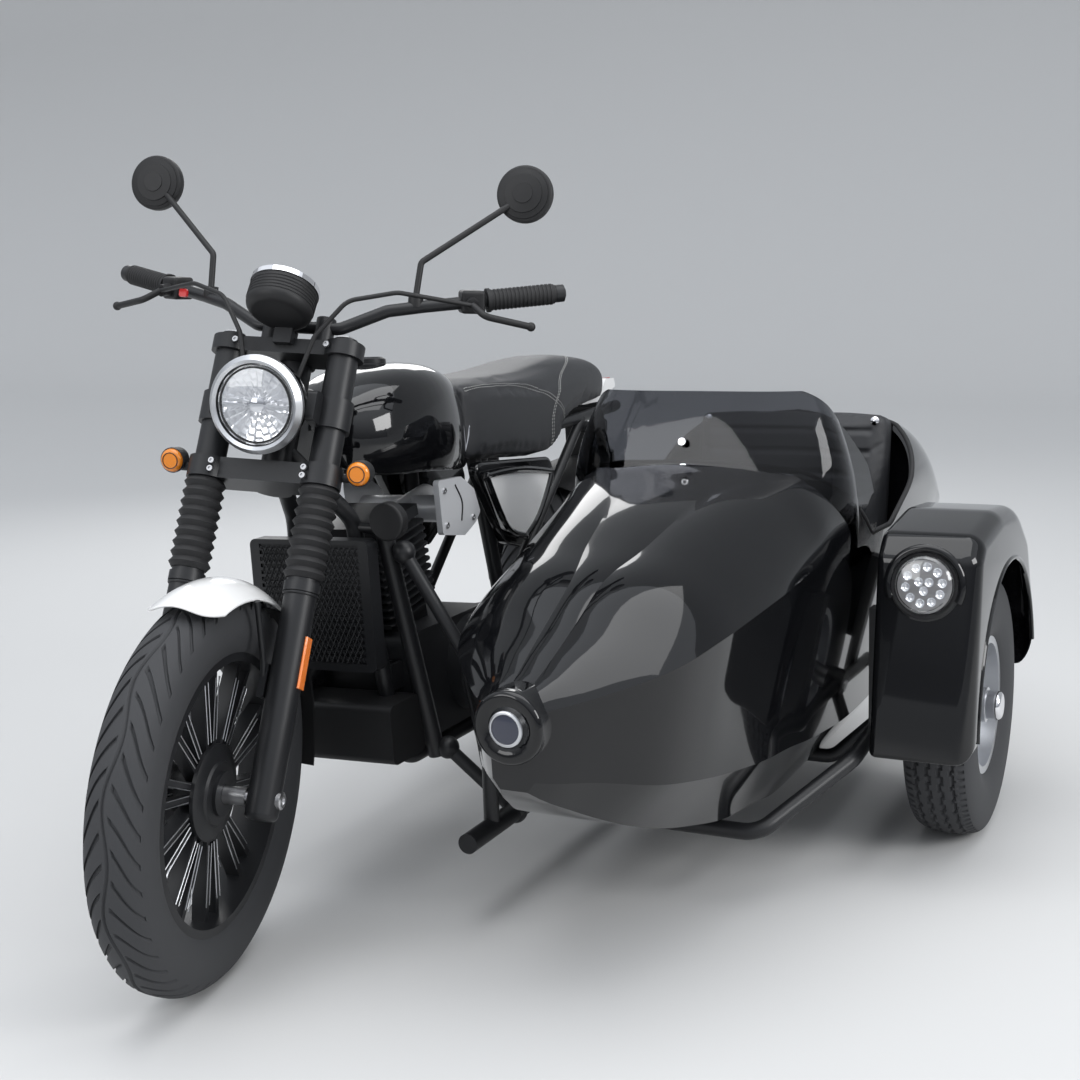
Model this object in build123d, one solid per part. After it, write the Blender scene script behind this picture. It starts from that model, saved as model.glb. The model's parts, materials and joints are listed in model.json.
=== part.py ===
"""Motorcycle with a sidecar on the rider's left, as an assembly of separate pieces.

Millimetres, +Z up, the front faces -Y and the sidecar lies on +X.
Pieces of the motorcycle are drawn in bike coordinates: X from the bike's middle plane
towards the sidecar, Y rearwards from the front axle, Z up from the ground. The steering
pieces are turned about the raked axis and the whole bike then leans out a little, away
from the sidecar, as an outfit is set up. Pieces of the sidecar are drawn level.
"""
import os
from math import asin, cos, hypot, radians, sin

from build123d import *

# Row origin, on the ground under the middle of the outfit's outline
ORIGIN_X = 280.0
ORIGIN_Y = 820.0

# Clearances
RUNNING_FIT = 0.05
SEAT_GAP = 0.3
PIVOT_GAP = 0.5
ENGINE_TUBE_GAP = 1.0

# Steering geometry and set-up
RAKE = 26.0
FORK_OFFSET = 44.0
PARKED_STEER = 13.5
LEAN_OUT = 2.0
WHEELBASE = 1440.0

# Tyres and rims
FRONT_TYRE_R = 318.5
FRONT_TYRE_W = 100.0
FRONT_SEAT_R = 218.5
FRONT_RIM_W = 66.0
REAR_TYRE_R = 321.0
REAR_TYRE_W = 148.0
REAR_SEAT_R = 216.0
REAR_RIM_W = 102.0
SIDE_TYRE_R = 254.0
SIDE_TYRE_W = 130.0
SIDE_SEAT_R = 127.0
SIDE_RIM_W = 90.0
RIM_FLANGE_H = 13.0
RIM_FLANGE_T = 5.0
RIM_WALL = 7.0

# Place of the sidecar's wheel and the middle plane of its body
SIDE_WHEEL_X = 956.0
SIDE_WHEEL_Y = 1128.0
BODY_X = 538.0

# Fork
LEG_X = 102.0
LEG_R = 27.0
LEG_FOOT = -34.0
STANCHION_R = 20.5
COVER_R = 26.0
GAITER_R = 35.0
GAITER_LOW = 356.0
GAITER_FOLDS = 9
LOWER_YOKE_S = 531.0
LOWER_YOKE_T = 36.0
TOP_YOKE_S = 753.5
TOP_YOKE_T = 26.0
YOKE_RING_R = 34.0
STEM_R = 14.0
HEAD_TUBE_R = 28.0
FRONT_AXLE_R = 10.0
AXLE_REACH = 15.0

SIN_RAKE = sin(radians(RAKE))
COS_RAKE = cos(radians(RAKE))


def mirrored(shape):
    """Return the shape together with its copy on the other side of the bike's middle plane."""
    return shape + mirror(shape, about=Plane.YZ)


def rod(points, radius, bend=0.0):
    """Round bar through the points, with bends of one radius."""
    if len(points) == 2:
        path = Line(*points)
    elif bend:
        path = FilletPolyline(*points, radius=bend)
    else:
        path = Polyline(*points)
    section = Plane(origin=path @ 0, z_dir=path % 0) * Circle(radius)
    return sweep(section, path=path, transition=Transition.ROUND)


def ball(point, radius):
    """Sphere about a point."""
    return Pos(*point) * Sphere(radius)


def disc_x(radius, low_x, high_x, y=0.0, z=0.0):
    """Cylinder along X between two planes."""
    return Location(((low_x + high_x) / 2, y, z), (0, 90, 0)) * Cylinder(radius, high_x - low_x)


def ring_x(outer, inner, low_x, high_x, y=0.0, z=0.0):
    """Tube along X between two planes."""
    return disc_x(outer, low_x, high_x, y, z) - disc_x(inner, low_x - 1, high_x + 1, y, z)


def box_between(low, high):
    """Box from its lowest to its highest corner."""
    size = [high[i] - low[i] for i in range(3)]
    middle = [(high[i] + low[i]) / 2 for i in range(3)]
    return Pos(*middle) * Box(*size)


def side_face(points, low_x, corner=0.0, inset=0.0):
    """Face in a YZ plane, with rounded corners and drawn in by the inset."""
    face = make_face(Polyline(*points, close=True))
    if corner:
        face = fillet(face.vertices(), corner)
    if inset:
        face = offset(face, amount=-inset, kind=Kind.INTERSECTION)
    return Plane(origin=(low_x, 0, 0), x_dir=(0, 1, 0), z_dir=(1, 0, 0)) * face


def side_plate(points, low_x, high_x, corner=0.0, inset=0.0):
    """Plate with an outline in the YZ plane and its thickness along X."""
    return extrude(side_face(points, low_x, corner, inset), amount=high_x - low_x)


# Height of the front axle, with the wheel turned and leaned on its round tyre
LEAN = radians(LEAN_OUT)
TURNED = radians(PARKED_STEER)
WHEEL_TILT = asin(sin(TURNED) * SIN_RAKE * cos(LEAN) - cos(TURNED) * sin(LEAN))
CROWN_R = FRONT_TYRE_W / 2
TILTED_CENTRE = (FRONT_TYRE_R - CROWN_R) * cos(WHEEL_TILT) + CROWN_R
SIDE_SHIFT = FORK_OFFSET * sin(TURNED) * sin(LEAN)
TRAIL_DROP = FORK_OFFSET * SIN_RAKE * (1 - cos(TURNED))
FRONT_AXLE_Z = (TILTED_CENTRE - SIDE_SHIFT) / cos(LEAN) + TRAIL_DROP

ON_BIKE = Location((0, 0, 0), (0, -LEAN_OUT, 0))
FORK = Location((0, 0, FRONT_AXLE_Z), (-RAKE, 0, 0))
TURN = FORK * Pos(0, FORK_OFFSET, 0) * Rot(0, 0, PARKED_STEER) * Pos(0, -FORK_OFFSET, 0) * FORK.inverse()
ROW = Pos(-ORIGIN_X, -ORIGIN_Y, 0)


def fork_point(x, along, ahead):
    """Bike coordinates of a point given along the fork legs and ahead of them."""
    y = along * SIN_RAKE - ahead * COS_RAKE
    z = FRONT_AXLE_Z + along * COS_RAKE + ahead * SIN_RAKE
    return (x, y, z)


NODES = {}


def joined(shape):
    """One shape from a piece or from a list of separate pieces."""
    if isinstance(shape, list):
        return Compound([solid for piece in shape for solid in piece.solids()])
    return shape


def keep_steering(name, shape):
    """Store a steering piece, drawn straight ahead."""
    NODES[name] = ROW * ON_BIKE * TURN * joined(shape)


def keep_bike(name, shape):
    """Store a piece of the motorcycle, drawn upright."""
    NODES[name] = ROW * ON_BIKE * joined(shape)


def keep_sidecar(name, shape):
    """Store a piece of the sidecar, drawn level."""
    NODES[name] = ROW * joined(shape)


def tyre(tyre_r, tyre_w, seat_r, rim_w, square=False):
    """Solid tyre ring about the X axis, seated on the rim between its flanges."""
    half = tyre_w / 2
    bead = rim_w / 2 - SEAT_GAP
    inner = seat_r + SEAT_GAP
    shoulder_r = tyre_r - (0.10 if square else 0.32) * (tyre_r - seat_r)
    shoulder = half * (0.80 if square else 0.93)
    belly_r = seat_r + 0.52 * (tyre_r - seat_r)
    flange_r = seat_r + RIM_FLANGE_H
    profile = Polyline((-bead, flange_r), (-bead, inner), (bead, inner), (bead, flange_r))
    profile += ThreePointArc((bead, flange_r), (half, belly_r), (shoulder, shoulder_r))
    profile += ThreePointArc((shoulder, shoulder_r), (0, tyre_r), (-shoulder, shoulder_r))
    profile += ThreePointArc((-shoulder, shoulder_r), (-half, belly_r), (-bead, flange_r))
    return revolve(make_face(profile), axis=Axis.X)


def rim_ring(seat_r, rim_w):
    """Rim barrel with a flange on each side."""
    half = rim_w / 2
    out = half + RIM_FLANGE_T
    top = seat_r + RIM_FLANGE_H
    low = seat_r - RIM_WALL
    profile = Polyline(
        (-out, low), (-out, top), (-half, top), (-half, seat_r),
        (half, seat_r), (half, top), (out, top), (out, low), close=True)
    return revolve(make_face(profile), axis=Axis.X)


def cast_wheel(seat_r, rim_w, hub_r, hub_low, hub_high, bore_r, spoke_pairs, spoke_t):
    """Cast wheel with paired spokes between the hub and the rim."""
    wheel = rim_ring(seat_r, rim_w) + disc_x(hub_r, hub_low, hub_high)
    reach = seat_r - RIM_WALL / 2
    root = 0.78 * hub_r
    for index in range(spoke_pairs):
        for side in (-1, 1):
            outline = Polyline(
                (side * 4, root), (side * 14, root), (side * 25, reach), (side * 14, reach), close=True)
            face = Plane(origin=(-spoke_t / 2, 0, 0), x_dir=(0, 1, 0), z_dir=(1, 0, 0)) * make_face(outline)
            wheel += Rot(index * 360 / spoke_pairs, 0, 0) * extrude(face, amount=spoke_t)
    return wheel - disc_x(bore_r, hub_low - 1, hub_high + 1)


def brake_disc(radius, low_x, thick, bore_r, holes):
    """Brake disc with a ring of cooling holes and slots around its carrier."""
    disc = ring_x(radius, bore_r, low_x, low_x + thick)
    for index in range(holes):
        turn = radians(index * 360 / holes)
        spot = 0.84 * radius
        disc -= disc_x(0.05 * radius, low_x - 1, low_x + thick + 1, spot * cos(turn), spot * sin(turn))
        if index % 2 == 0:
            spot = 0.55 * radius
            disc -= disc_x(0.12 * radius, low_x - 1, low_x + thick + 1, spot * cos(turn), spot * sin(turn))
    return disc


# Front wheel
FRONT_HUB_LOW = -46.0
FRONT_HUB_HIGH = 36.0
FRONT_HUB_R = 36.0
FRONT_BORE = FRONT_AXLE_R + RUNNING_FIT
FRONT_DISC_R = 150.0
DISC_T = 5.0
SPOKE_PAIRS = 10
front_wheel_at = Pos(0, 0, FRONT_AXLE_Z)
keep_steering("front_tyre", front_wheel_at * tyre(FRONT_TYRE_R, FRONT_TYRE_W, FRONT_SEAT_R, FRONT_RIM_W))
front_rim = cast_wheel(
    FRONT_SEAT_R, FRONT_RIM_W, FRONT_HUB_R, FRONT_HUB_LOW, FRONT_HUB_HIGH, FRONT_BORE, SPOKE_PAIRS, 24)
keep_steering("front_rim", front_wheel_at * front_rim)
front_disc = brake_disc(FRONT_DISC_R, FRONT_HUB_LOW - DISC_T, DISC_T, FRONT_BORE + 4, 20)
keep_steering("front_brake_disc", front_wheel_at * front_disc)

# Rear wheel
REAR_HUB_HALF = 62.0
REAR_HUB_R = 42.0
REAR_AXLE_R = 9.0
REAR_BORE = REAR_AXLE_R + RUNNING_FIT
REAR_DISC_R = 120.0
rear_wheel_at = Pos(0, WHEELBASE, REAR_TYRE_R)
keep_bike("rear_tyre", rear_wheel_at * tyre(REAR_TYRE_R, REAR_TYRE_W, REAR_SEAT_R, REAR_RIM_W))
rear_rim = cast_wheel(
    REAR_SEAT_R, REAR_RIM_W, REAR_HUB_R, -REAR_HUB_HALF, REAR_HUB_HALF, REAR_BORE, SPOKE_PAIRS, 26)
keep_bike("rear_rim", rear_wheel_at * rear_rim)
rear_disc = brake_disc(REAR_DISC_R, -REAR_HUB_HALF - DISC_T, DISC_T, REAR_BORE + 4, 16)
keep_bike("rear_brake_disc", rear_wheel_at * rear_disc)

SPROCKET_ROOT_R = 84.0
SPROCKET_TEETH = 38
TOOTH_H = 5.0
SPROCKET_T = 6.0
sprocket = disc_x(SPROCKET_ROOT_R, REAR_HUB_HALF, REAR_HUB_HALF + SPROCKET_T)
for index in range(SPROCKET_TEETH):
    tooth = Pos(REAR_HUB_HALF + SPROCKET_T / 2, 0, SPROCKET_ROOT_R) * Box(SPROCKET_T, 6, 2 * TOOTH_H)
    sprocket += Rot(index * 360 / SPROCKET_TEETH, 0, 0) * tooth
for index in range(6):
    sprocket -= Rot(index * 60, 0, 0) * disc_x(14, REAR_HUB_HALF - 1, REAR_HUB_HALF + SPROCKET_T + 1, 0, 60)
sprocket -= disc_x(REAR_BORE + 4, REAR_HUB_HALF - 1, REAR_HUB_HALF + SPROCKET_T + 1)
keep_bike("rear_sprocket", rear_wheel_at * sprocket)

# Sidecar wheel
SIDE_AXLE_R = 12.5
SIDE_DISH_X = 12.0
SIDE_DISH_T = 5.0
SIDE_HUB_R = 34.0
SIDE_HUB_LOW = -48.0
SIDE_HUB_HIGH = 50.0
SIDE_CAP_R = 28.0
SIDE_CAP_REACH = 79.0
side_wheel_at = Pos(SIDE_WHEEL_X, SIDE_WHEEL_Y, SIDE_TYRE_R)
keep_sidecar("sidecar_tyre", side_wheel_at * tyre(SIDE_TYRE_R, SIDE_TYRE_W, SIDE_SEAT_R, SIDE_RIM_W, True))
side_rim = rim_ring(SIDE_SEAT_R, SIDE_RIM_W)
side_rim += disc_x(SIDE_SEAT_R - RIM_WALL / 2, SIDE_DISH_X, SIDE_DISH_X + SIDE_DISH_T)
side_rim += disc_x(SIDE_HUB_R, SIDE_HUB_LOW, SIDE_HUB_HIGH)
for index in range(8):
    side_rim -= Rot(index * 45, 0, 0) * disc_x(14, SIDE_DISH_X - 1, SIDE_DISH_X + SIDE_DISH_T + 1, 0, 84)
side_rim -= disc_x(SIDE_AXLE_R + RUNNING_FIT, SIDE_HUB_LOW - 1, SIDE_HUB_HIGH - 12)
keep_sidecar("sidecar_rim", side_wheel_at * side_rim)
side_cap = disc_x(SIDE_CAP_R, SIDE_HUB_HIGH + SEAT_GAP, SIDE_CAP_REACH)
side_cap = fillet(side_cap.edges().group_by(Axis.X)[-1], 9)
keep_sidecar("sidecar_hub_cap", side_wheel_at * side_cap)

# Front axle with its spacers
front_axle = disc_x(FRONT_AXLE_R, -LEG_X - AXLE_REACH, LEG_X + AXLE_REACH)
leg_face = LEG_X - LEG_R - SEAT_GAP
front_axle += disc_x(15, FRONT_HUB_HIGH + PIVOT_GAP, leg_face)
front_axle += disc_x(15, -leg_face, FRONT_HUB_LOW - DISC_T - PIVOT_GAP)
front_axle -= disc_x(5, LEG_X + AXLE_REACH - 6, LEG_X + AXLE_REACH + 1)
keep_steering("front_axle", front_wheel_at * front_axle)

# Fork legs, tubes and gaiters
lower_yoke_low = LOWER_YOKE_S - LOWER_YOKE_T / 2
lower_yoke_high = LOWER_YOKE_S + LOWER_YOKE_T / 2
top_yoke_low = TOP_YOKE_S - TOP_YOKE_T / 2
top_yoke_high = TOP_YOKE_S + TOP_YOKE_T / 2
leg = Pos(LEG_X, 0, (LEG_FOOT + GAITER_LOW) / 2) * Cylinder(LEG_R, GAITER_LOW - LEG_FOOT)
leg = fillet(leg.edges().group_by(Axis.Z)[0], 10)
leg += Pos(LEG_X, 0, GAITER_LOW - 14) * Cylinder(LEG_R + 3, 16)
legs = mirrored(leg)
for side in (-1, 1):
    legs -= Pos(side * LEG_X, 0, 0) * Rot(0, 90, 0) * Cylinder(FRONT_AXLE_R + RUNNING_FIT, 3 * LEG_R)
keep_steering("fork_legs", FORK * legs)

stanchion_high = top_yoke_high + 8
stanchion = Cylinder(STANCHION_R, stanchion_high - GAITER_LOW)
stanchion = Pos(LEG_X, 0, (GAITER_LOW + stanchion_high) / 2) * stanchion
cover_low = lower_yoke_high + SEAT_GAP
cover_high = top_yoke_low - SEAT_GAP
stanchion += Pos(LEG_X, 0, (cover_low + cover_high) / 2) * Cylinder(COVER_R, cover_high - cover_low)
keep_steering("fork_tubes", FORK * mirrored(stanchion))

gaiter_high = lower_yoke_low - SEAT_GAP
gaiter_low = GAITER_LOW + SEAT_GAP
gaiter_bore = STANCHION_R + SEAT_GAP
fold_h = (gaiter_high - gaiter_low) / GAITER_FOLDS
FOLD_DEPTH = 6.0
gaiter_points = [(gaiter_bore, gaiter_low), (GAITER_R - FOLD_DEPTH, gaiter_low)]
for index in range(GAITER_FOLDS):
    fold_low = gaiter_low + index * fold_h
    gaiter_points.append((GAITER_R, fold_low + fold_h / 2))
    gaiter_points.append((GAITER_R - FOLD_DEPTH, fold_low + fold_h))
gaiter_points.append((gaiter_bore, gaiter_high))
gaiter_face = make_face(Plane.XZ * Polyline(*gaiter_points, close=True))
keep_steering("fork_gaiters", FORK * mirrored(Pos(LEG_X, 0, 0) * revolve(gaiter_face, axis=Axis.Z)))

# Handlebar path, straight ahead
BAR_R = 11.0
GRIP_R = 17.0
GRIP_LENGTH = 122.0
RISER_X = 48.0
RISER_R = 17.0
RISER_H = 40.0
bar_clamp = fork_point(0, top_yoke_high + RISER_H, -28)
bar_knee = (75, bar_clamp[1], bar_clamp[2])
bar_rise = (150, 408, 1064)
bar_shoulder = (205, 439.5, 1073)
bar_end = (408, 552, 1100)
half_bar = [bar_knee, bar_rise, bar_shoulder, bar_end]
bar_points = [(-x, y, z) for x, y, z in reversed(half_bar)] + half_bar
BAR_BEND = 30.0


def bar(radius):
    """The whole bar, or the room that it takes with a larger radius."""
    return rod(bar_points, radius, BAR_BEND)


keep_steering("handlebar", bar(BAR_R))

# Yokes with the steering stem and the bar risers
PLATE_BACK = 10.0
PLATE_FRONT = 20.0


def yoke(middle, thick):
    """Yoke plate with a clamp ring round each leg."""
    plate = box_between(
        (-LEG_X, -PLATE_FRONT, middle - thick / 2), (LEG_X, FORK_OFFSET + PLATE_BACK, middle + thick / 2))
    plate = fillet(plate.edges().filter_by(Axis.Z), 12)
    plate += mirrored(Pos(LEG_X, 0, middle) * Cylinder(YOKE_RING_R, thick))
    plate += Pos(0, FORK_OFFSET, middle) * Cylinder(YOKE_RING_R, thick)
    return plate - mirrored(Pos(LEG_X, 0, middle) * Cylinder(STANCHION_R + SEAT_GAP, thick + 2))


POD_R = 57.0
POD_H = 50.0
POD_TILT = 38.0
pod_at = Location(fork_point(0, 812, 63), (-POD_TILT, 0, 0))
yokes = yoke(LOWER_YOKE_S, LOWER_YOKE_T) + yoke(TOP_YOKE_S, TOP_YOKE_T)
yokes += Pos(0, FORK_OFFSET, (LOWER_YOKE_S + TOP_YOKE_S) / 2) * Cylinder(STEM_R, TOP_YOKE_S - LOWER_YOKE_S)
for side in (-1, 1):
    riser_top = top_yoke_high + RISER_H + BAR_R + 5
    yokes += Pos(side * RISER_X, 28, (TOP_YOKE_S + riser_top) / 2) * Cylinder(RISER_R, riser_top - TOP_YOKE_S)
yokes += box_between((-16, -34, TOP_YOKE_S), (16, -6, top_yoke_high + 14))
pod_room = Pos(0, 0, 40) * Cylinder(POD_R + SEAT_GAP, POD_H + 80 + 2 * SEAT_GAP)
keep_steering("fork_yokes", FORK * yokes - bar(BAR_R + 0.1) - pod_at * pod_room)

# Headlamp, drawn level and set on the fork
HEADLAMP_R = 82.0
BOWL_R = 76.0
BOWL_DEPTH = 90.0
LENS_R = 68.0
RIM_DEPTH = 18.0
headlamp_at = fork_point(0, 626, 76.5)
facing_back = Location(headlamp_at, (-90, 0, 0))
bowl_profile = Polyline((0, 0), (BOWL_R, 0), (BOWL_R, 18))
bowl_profile += ThreePointArc((BOWL_R, 18), (58, 62), (12, BOWL_DEPTH))
bowl_profile += Polyline((12, BOWL_DEPTH), (0, BOWL_DEPTH), (0, 0))
headlamp_bowl = facing_back * revolve(make_face(Plane.XZ * bowl_profile), axis=Axis.Z)
keep_steering("headlamp_bowl", headlamp_bowl)
rim_profile = Polyline(
    (LENS_R + SEAT_GAP, -RIM_DEPTH + 4), (HEADLAMP_R - 8, -RIM_DEPTH), (HEADLAMP_R, -8),
    (HEADLAMP_R, -SEAT_GAP), (LENS_R + SEAT_GAP, -SEAT_GAP), close=True)
keep_steering("headlamp_rim", facing_back * revolve(make_face(Plane.XZ * rim_profile), axis=Axis.Z))
lens_profile = Polyline((0, -SEAT_GAP), (LENS_R, -SEAT_GAP), (LENS_R, -10))
lens_profile += ThreePointArc((LENS_R, -10), (LENS_R / 2, -17), (6, -19))
lens_profile += Polyline((6, -19), (0, -19), (0, -SEAT_GAP))
keep_steering("headlamp_lens", facing_back * revolve(make_face(Plane.XZ * lens_profile), axis=Axis.Z))

BRACKET_T = 16.0
bracket_in = BOWL_R + SEAT_GAP
bracket = box_between((bracket_in, -60, 612), (bracket_in + BRACKET_T, 0, 664))
bracket = fillet(bracket.edges().filter_by(Axis.X), 8)
bracket += Pos(LEG_X, 0, 638) * Cylinder(COVER_R + 6, 52)
bracket -= Pos(LEG_X, 0, 638) * Cylinder(COVER_R + SEAT_GAP, 60)
keep_steering("headlamp_brackets", FORK * mirrored(bracket))

# Instrument on the top yoke
pod = fillet(Cylinder(POD_R, POD_H).edges().group_by(Axis.Z)[0], 16)
keep_steering("instrument_pod", pod_at * pod)
BEZEL_H = 9.0
bezel_low = POD_H / 2 + SEAT_GAP
bezel = Pos(0, 0, bezel_low + BEZEL_H / 2) * (Cylinder(POD_R + 2, BEZEL_H) - Cylinder(POD_R - 6, BEZEL_H + 1))
keep_steering("instrument_bezel", pod_at * bezel)
dial = Pos(0, 0, bezel_low + 3) * Cylinder(POD_R - 6 - SEAT_GAP, 6)
keep_steering("instrument_dial", pod_at * dial)

# Grips and hand controls, on the straight outer length of the bar
bar_run = [bar_end[i] - bar_shoulder[i] for i in range(3)]
bar_run_length = hypot(*bar_run)


def along_bar(from_end):
    """Point on the bar's middle line, measured inwards from its end."""
    return tuple(bar_end[i] - bar_run[i] * from_end / bar_run_length for i in range(3))


grip = rod([along_bar(GRIP_LENGTH), along_bar(0)], GRIP_R)
grip += rod([along_bar(0), along_bar(-18)], GRIP_R - 2)
grip += rod([along_bar(GRIP_LENGTH), along_bar(GRIP_LENGTH - 6)], GRIP_R + 4)
keep_steering("grips", mirrored(grip) - bar(BAR_R + SEAT_GAP))

switch_at = along_bar(GRIP_LENGTH + 26)
lever_pivot = (switch_at[0] + 14, switch_at[1] - 40, switch_at[2] - 4)
lever_middle = (320, 425, 1062)
lever_tip = (392, 462, 1046)
switch = Location(switch_at, (0, 0, 28)) * Box(42, 42, 40)
controls = fillet(switch.edges(), 6)
controls += rod([switch_at, lever_pivot], 11)
controls += rod([lever_pivot, lever_middle, lever_tip], 6, 20) + ball(lever_tip, 8)
CABLE_R = 4.0
cable_path = [
    lever_pivot, fork_point(186, 858, 22), fork_point(112, 826, 52),
    fork_point(66, 758, 54), fork_point(38, 650, 42)]
controls += rod(cable_path, CABLE_R, 44)
keep_steering("hand_controls", mirrored(controls) - bar(BAR_R + SEAT_GAP) - headlamp_bowl)

# Mirrors on bent arms
MIRROR_R = 50.0
MIRROR_T = 20.0
mirror_at = fork_point(352, 1096, -77)
mirror_foot = (192, 436, 1090)
mirror_elbow = (195, 452, 1148)
mirror_boss = (mirror_at[0] - 22, mirror_at[1] - 14, mirror_at[2] - 18)
mirror_piece = rod([mirror_foot, mirror_elbow, mirror_boss], 5.5, 14)
mirror_piece += rod([(192, 433, 1071), mirror_foot], 13)
mirror_piece += fillet((Location(mirror_at, (82, 0, -12)) * Cylinder(MIRROR_R, MIRROR_T)).edges(), 7)
keep_steering("mirrors", mirrored(mirror_piece) - bar(BAR_R + SEAT_GAP))

# Front indicators on stalks from the lower yoke
INDICATOR_R = 20.0
INDICATOR_X = 167.0
indicator_at = fork_point(INDICATOR_X, 543, 2)
facing_front = Location(indicator_at, (90, 0, 0))
cup = Pos(0, 0, -12) * Cylinder(INDICATOR_R, 24)
cup = fillet(cup.edges().group_by(Axis.Z)[0], 8)
stalk = rod([fork_point(LEG_X + 28, 536, -10), fork_point(INDICATOR_X - 6, 536, -10)], 7)
stalk -= FORK * Pos(LEG_X, 0, LOWER_YOKE_S) * Cylinder(YOKE_RING_R + SEAT_GAP, 4 * LOWER_YOKE_T)
keep_steering("indicator_cups", mirrored(facing_front * cup + stalk))
lens = Pos(0, 0, SEAT_GAP + 7) * Cylinder(INDICATOR_R, 14)
lens = fillet(lens.edges().group_by(Axis.Z)[-1], 9)
keep_steering("front_indicators", mirrored(facing_front * lens))

# Front mudguard: a painted blade and a black rear flap on the same arc
GUARD_R = FRONT_TYRE_R + 24.0
GUARD_HALF = 62.0
GUARD_DROP = 34.0
GUARD_T = 3.0
FLAP_R = FRONT_TYRE_R + 14.5
FLAP_DROP = 12.0


def blade(radius, half, drop, thick, low_angle, high_angle):
    """Arched strip about the X axis, between two angles up from +Y."""
    inner_half = half - thick
    section = ThreePointArc((-half, radius - drop), (0, radius), (half, radius - drop))
    section += Line((half, radius - drop), (inner_half, radius - drop))
    section += ThreePointArc((inner_half, radius - drop), (0, radius - thick), (-inner_half, radius - drop))
    section += Line((-inner_half, radius - drop), (-half, radius - drop))
    turn = high_angle - low_angle
    return Rot(low_angle, 0, 0) * revolve(make_face(section), axis=Axis.X, revolution_arc=turn)


GUARD_REAR = 50.0
GUARD_FRONT = 106.0
FLAP_LOW = -10.0
STAY_X = GUARD_HALF + SEAT_GAP + 5
guard = blade(GUARD_R, GUARD_HALF, GUARD_DROP, GUARD_T, GUARD_REAR, GUARD_FRONT)
keep_steering("front_mudguard", front_wheel_at * guard)
flap = blade(FLAP_R, GUARD_HALF - 4, FLAP_DROP, GUARD_T, FLAP_LOW, GUARD_REAR - 0.5)
flap_clip = box_between((-6, -14, FLAP_R - 2), (6, 14, GUARD_R - GUARD_T - 2 * SEAT_GAP))
flap += Rot(GUARD_REAR - 90, 0, 0) * flap_clip
keep_steering("front_flap", front_wheel_at * flap)
stay_top = fork_point(STAY_X, 297, 87)
stay_knee = fork_point(STAY_X, 215, 20)
stay_foot = fork_point(STAY_X, 170, 0)
stay = rod([stay_top, stay_knee, stay_foot], 5, 20)
foot_pad = FORK * box_between((STAY_X - 5, -14, 158), (LEG_X - LEG_R - SEAT_GAP, 14, 212))
keep_steering("mudguard_stays", mirrored(stay + foot_pad))

# Brake caliper on the rider's right leg
CALIPER_GAP = 5.2
disc_mid = FRONT_HUB_LOW - DISC_T / 2
slot = DISC_T / 2 + CALIPER_GAP
caliper = box_between((-LEG_X + 6, 30, 76), (disc_mid + slot + 12, 92, 150))
caliper = fillet(caliper.edges().filter_by(Axis.X), 12)
caliper -= disc_x(FRONT_DISC_R + CALIPER_GAP, disc_mid - slot, disc_mid + slot)
caliper += box_between((-LEG_X - 8, 0, 90), (-LEG_X + 14, 60, 134))
caliper -= Pos(-LEG_X, 0, 120) * Cylinder(LEG_R + SEAT_GAP, 200)
keep_steering("front_caliper", FORK * caliper)

# Bike frame: head tube, backbone, cradle, seat rails and the sidecar lug tube
TUBE_R = 15.0
RAIL_R = 12.0
head_mid = (lower_yoke_high + top_yoke_low) / 2
head_len = top_yoke_low - lower_yoke_high - 2 * PIVOT_GAP
head_room = FORK * Pos(0, FORK_OFFSET, head_mid)
BACKBONE_R = 22.0
backbone_path = [fork_point(0, 690, -FORK_OFFSET - 22), (0, 600, 838), (0, 835, 770)]
down_path = [(14, 297, 823), (62, 408, 690), (96, 448, 236), (100, 838, 236), (96, 880, 420), (72, 835, 770)]
SEAT_CROSS_Y = 1484.0
SEAT_CROSS_Z = 785.0
seat_rail_path = [(30, 812, 768), (95, 905, 764), (104, SEAT_CROSS_Y + 6, SEAT_CROSS_Z + 1)]
rail_brace_path = [(95, 885, 440), (104, 1290, 776)]
LUG_TUBE_R = 16.0
lug_top = (118, 412, 690)
lug_foot = (150, 489, 243)
PIVOT_Y = 880 + TUBE_R + SEAT_GAP + 16
PIVOT_Z = 396.0


def frame_tubes(extra):
    """The frame's tubes, or the room that they take with an extra radius."""
    tubes = rod(backbone_path, BACKBONE_R + extra, 120)
    for side in (-1, 1):
        tubes += rod([(side * x, y, z) for x, y, z in down_path], TUBE_R + extra, 60)
        tubes += rod([(side * x, y, z) for x, y, z in seat_rail_path], RAIL_R + extra, 50)
        tubes += rod([(side * x, y, z) for x, y, z in rail_brace_path], RAIL_R - 1 + extra)
    tubes += rod([(-96, 875, 400), (96, 875, 400)], TUBE_R + extra)
    tubes += rod([(-104, SEAT_CROSS_Y, SEAT_CROSS_Z), (104, SEAT_CROSS_Y, SEAT_CROSS_Z)], RAIL_R - 1 + extra)
    tubes += rod([lug_top, lug_foot], LUG_TUBE_R + extra)
    tubes += rod([(60, 410, 676), (120, 416, 672)], 10 + extra)
    tubes += rod([(92, 452, 300), (146, 479, 290)], 10 + extra)
    return tubes


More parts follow.
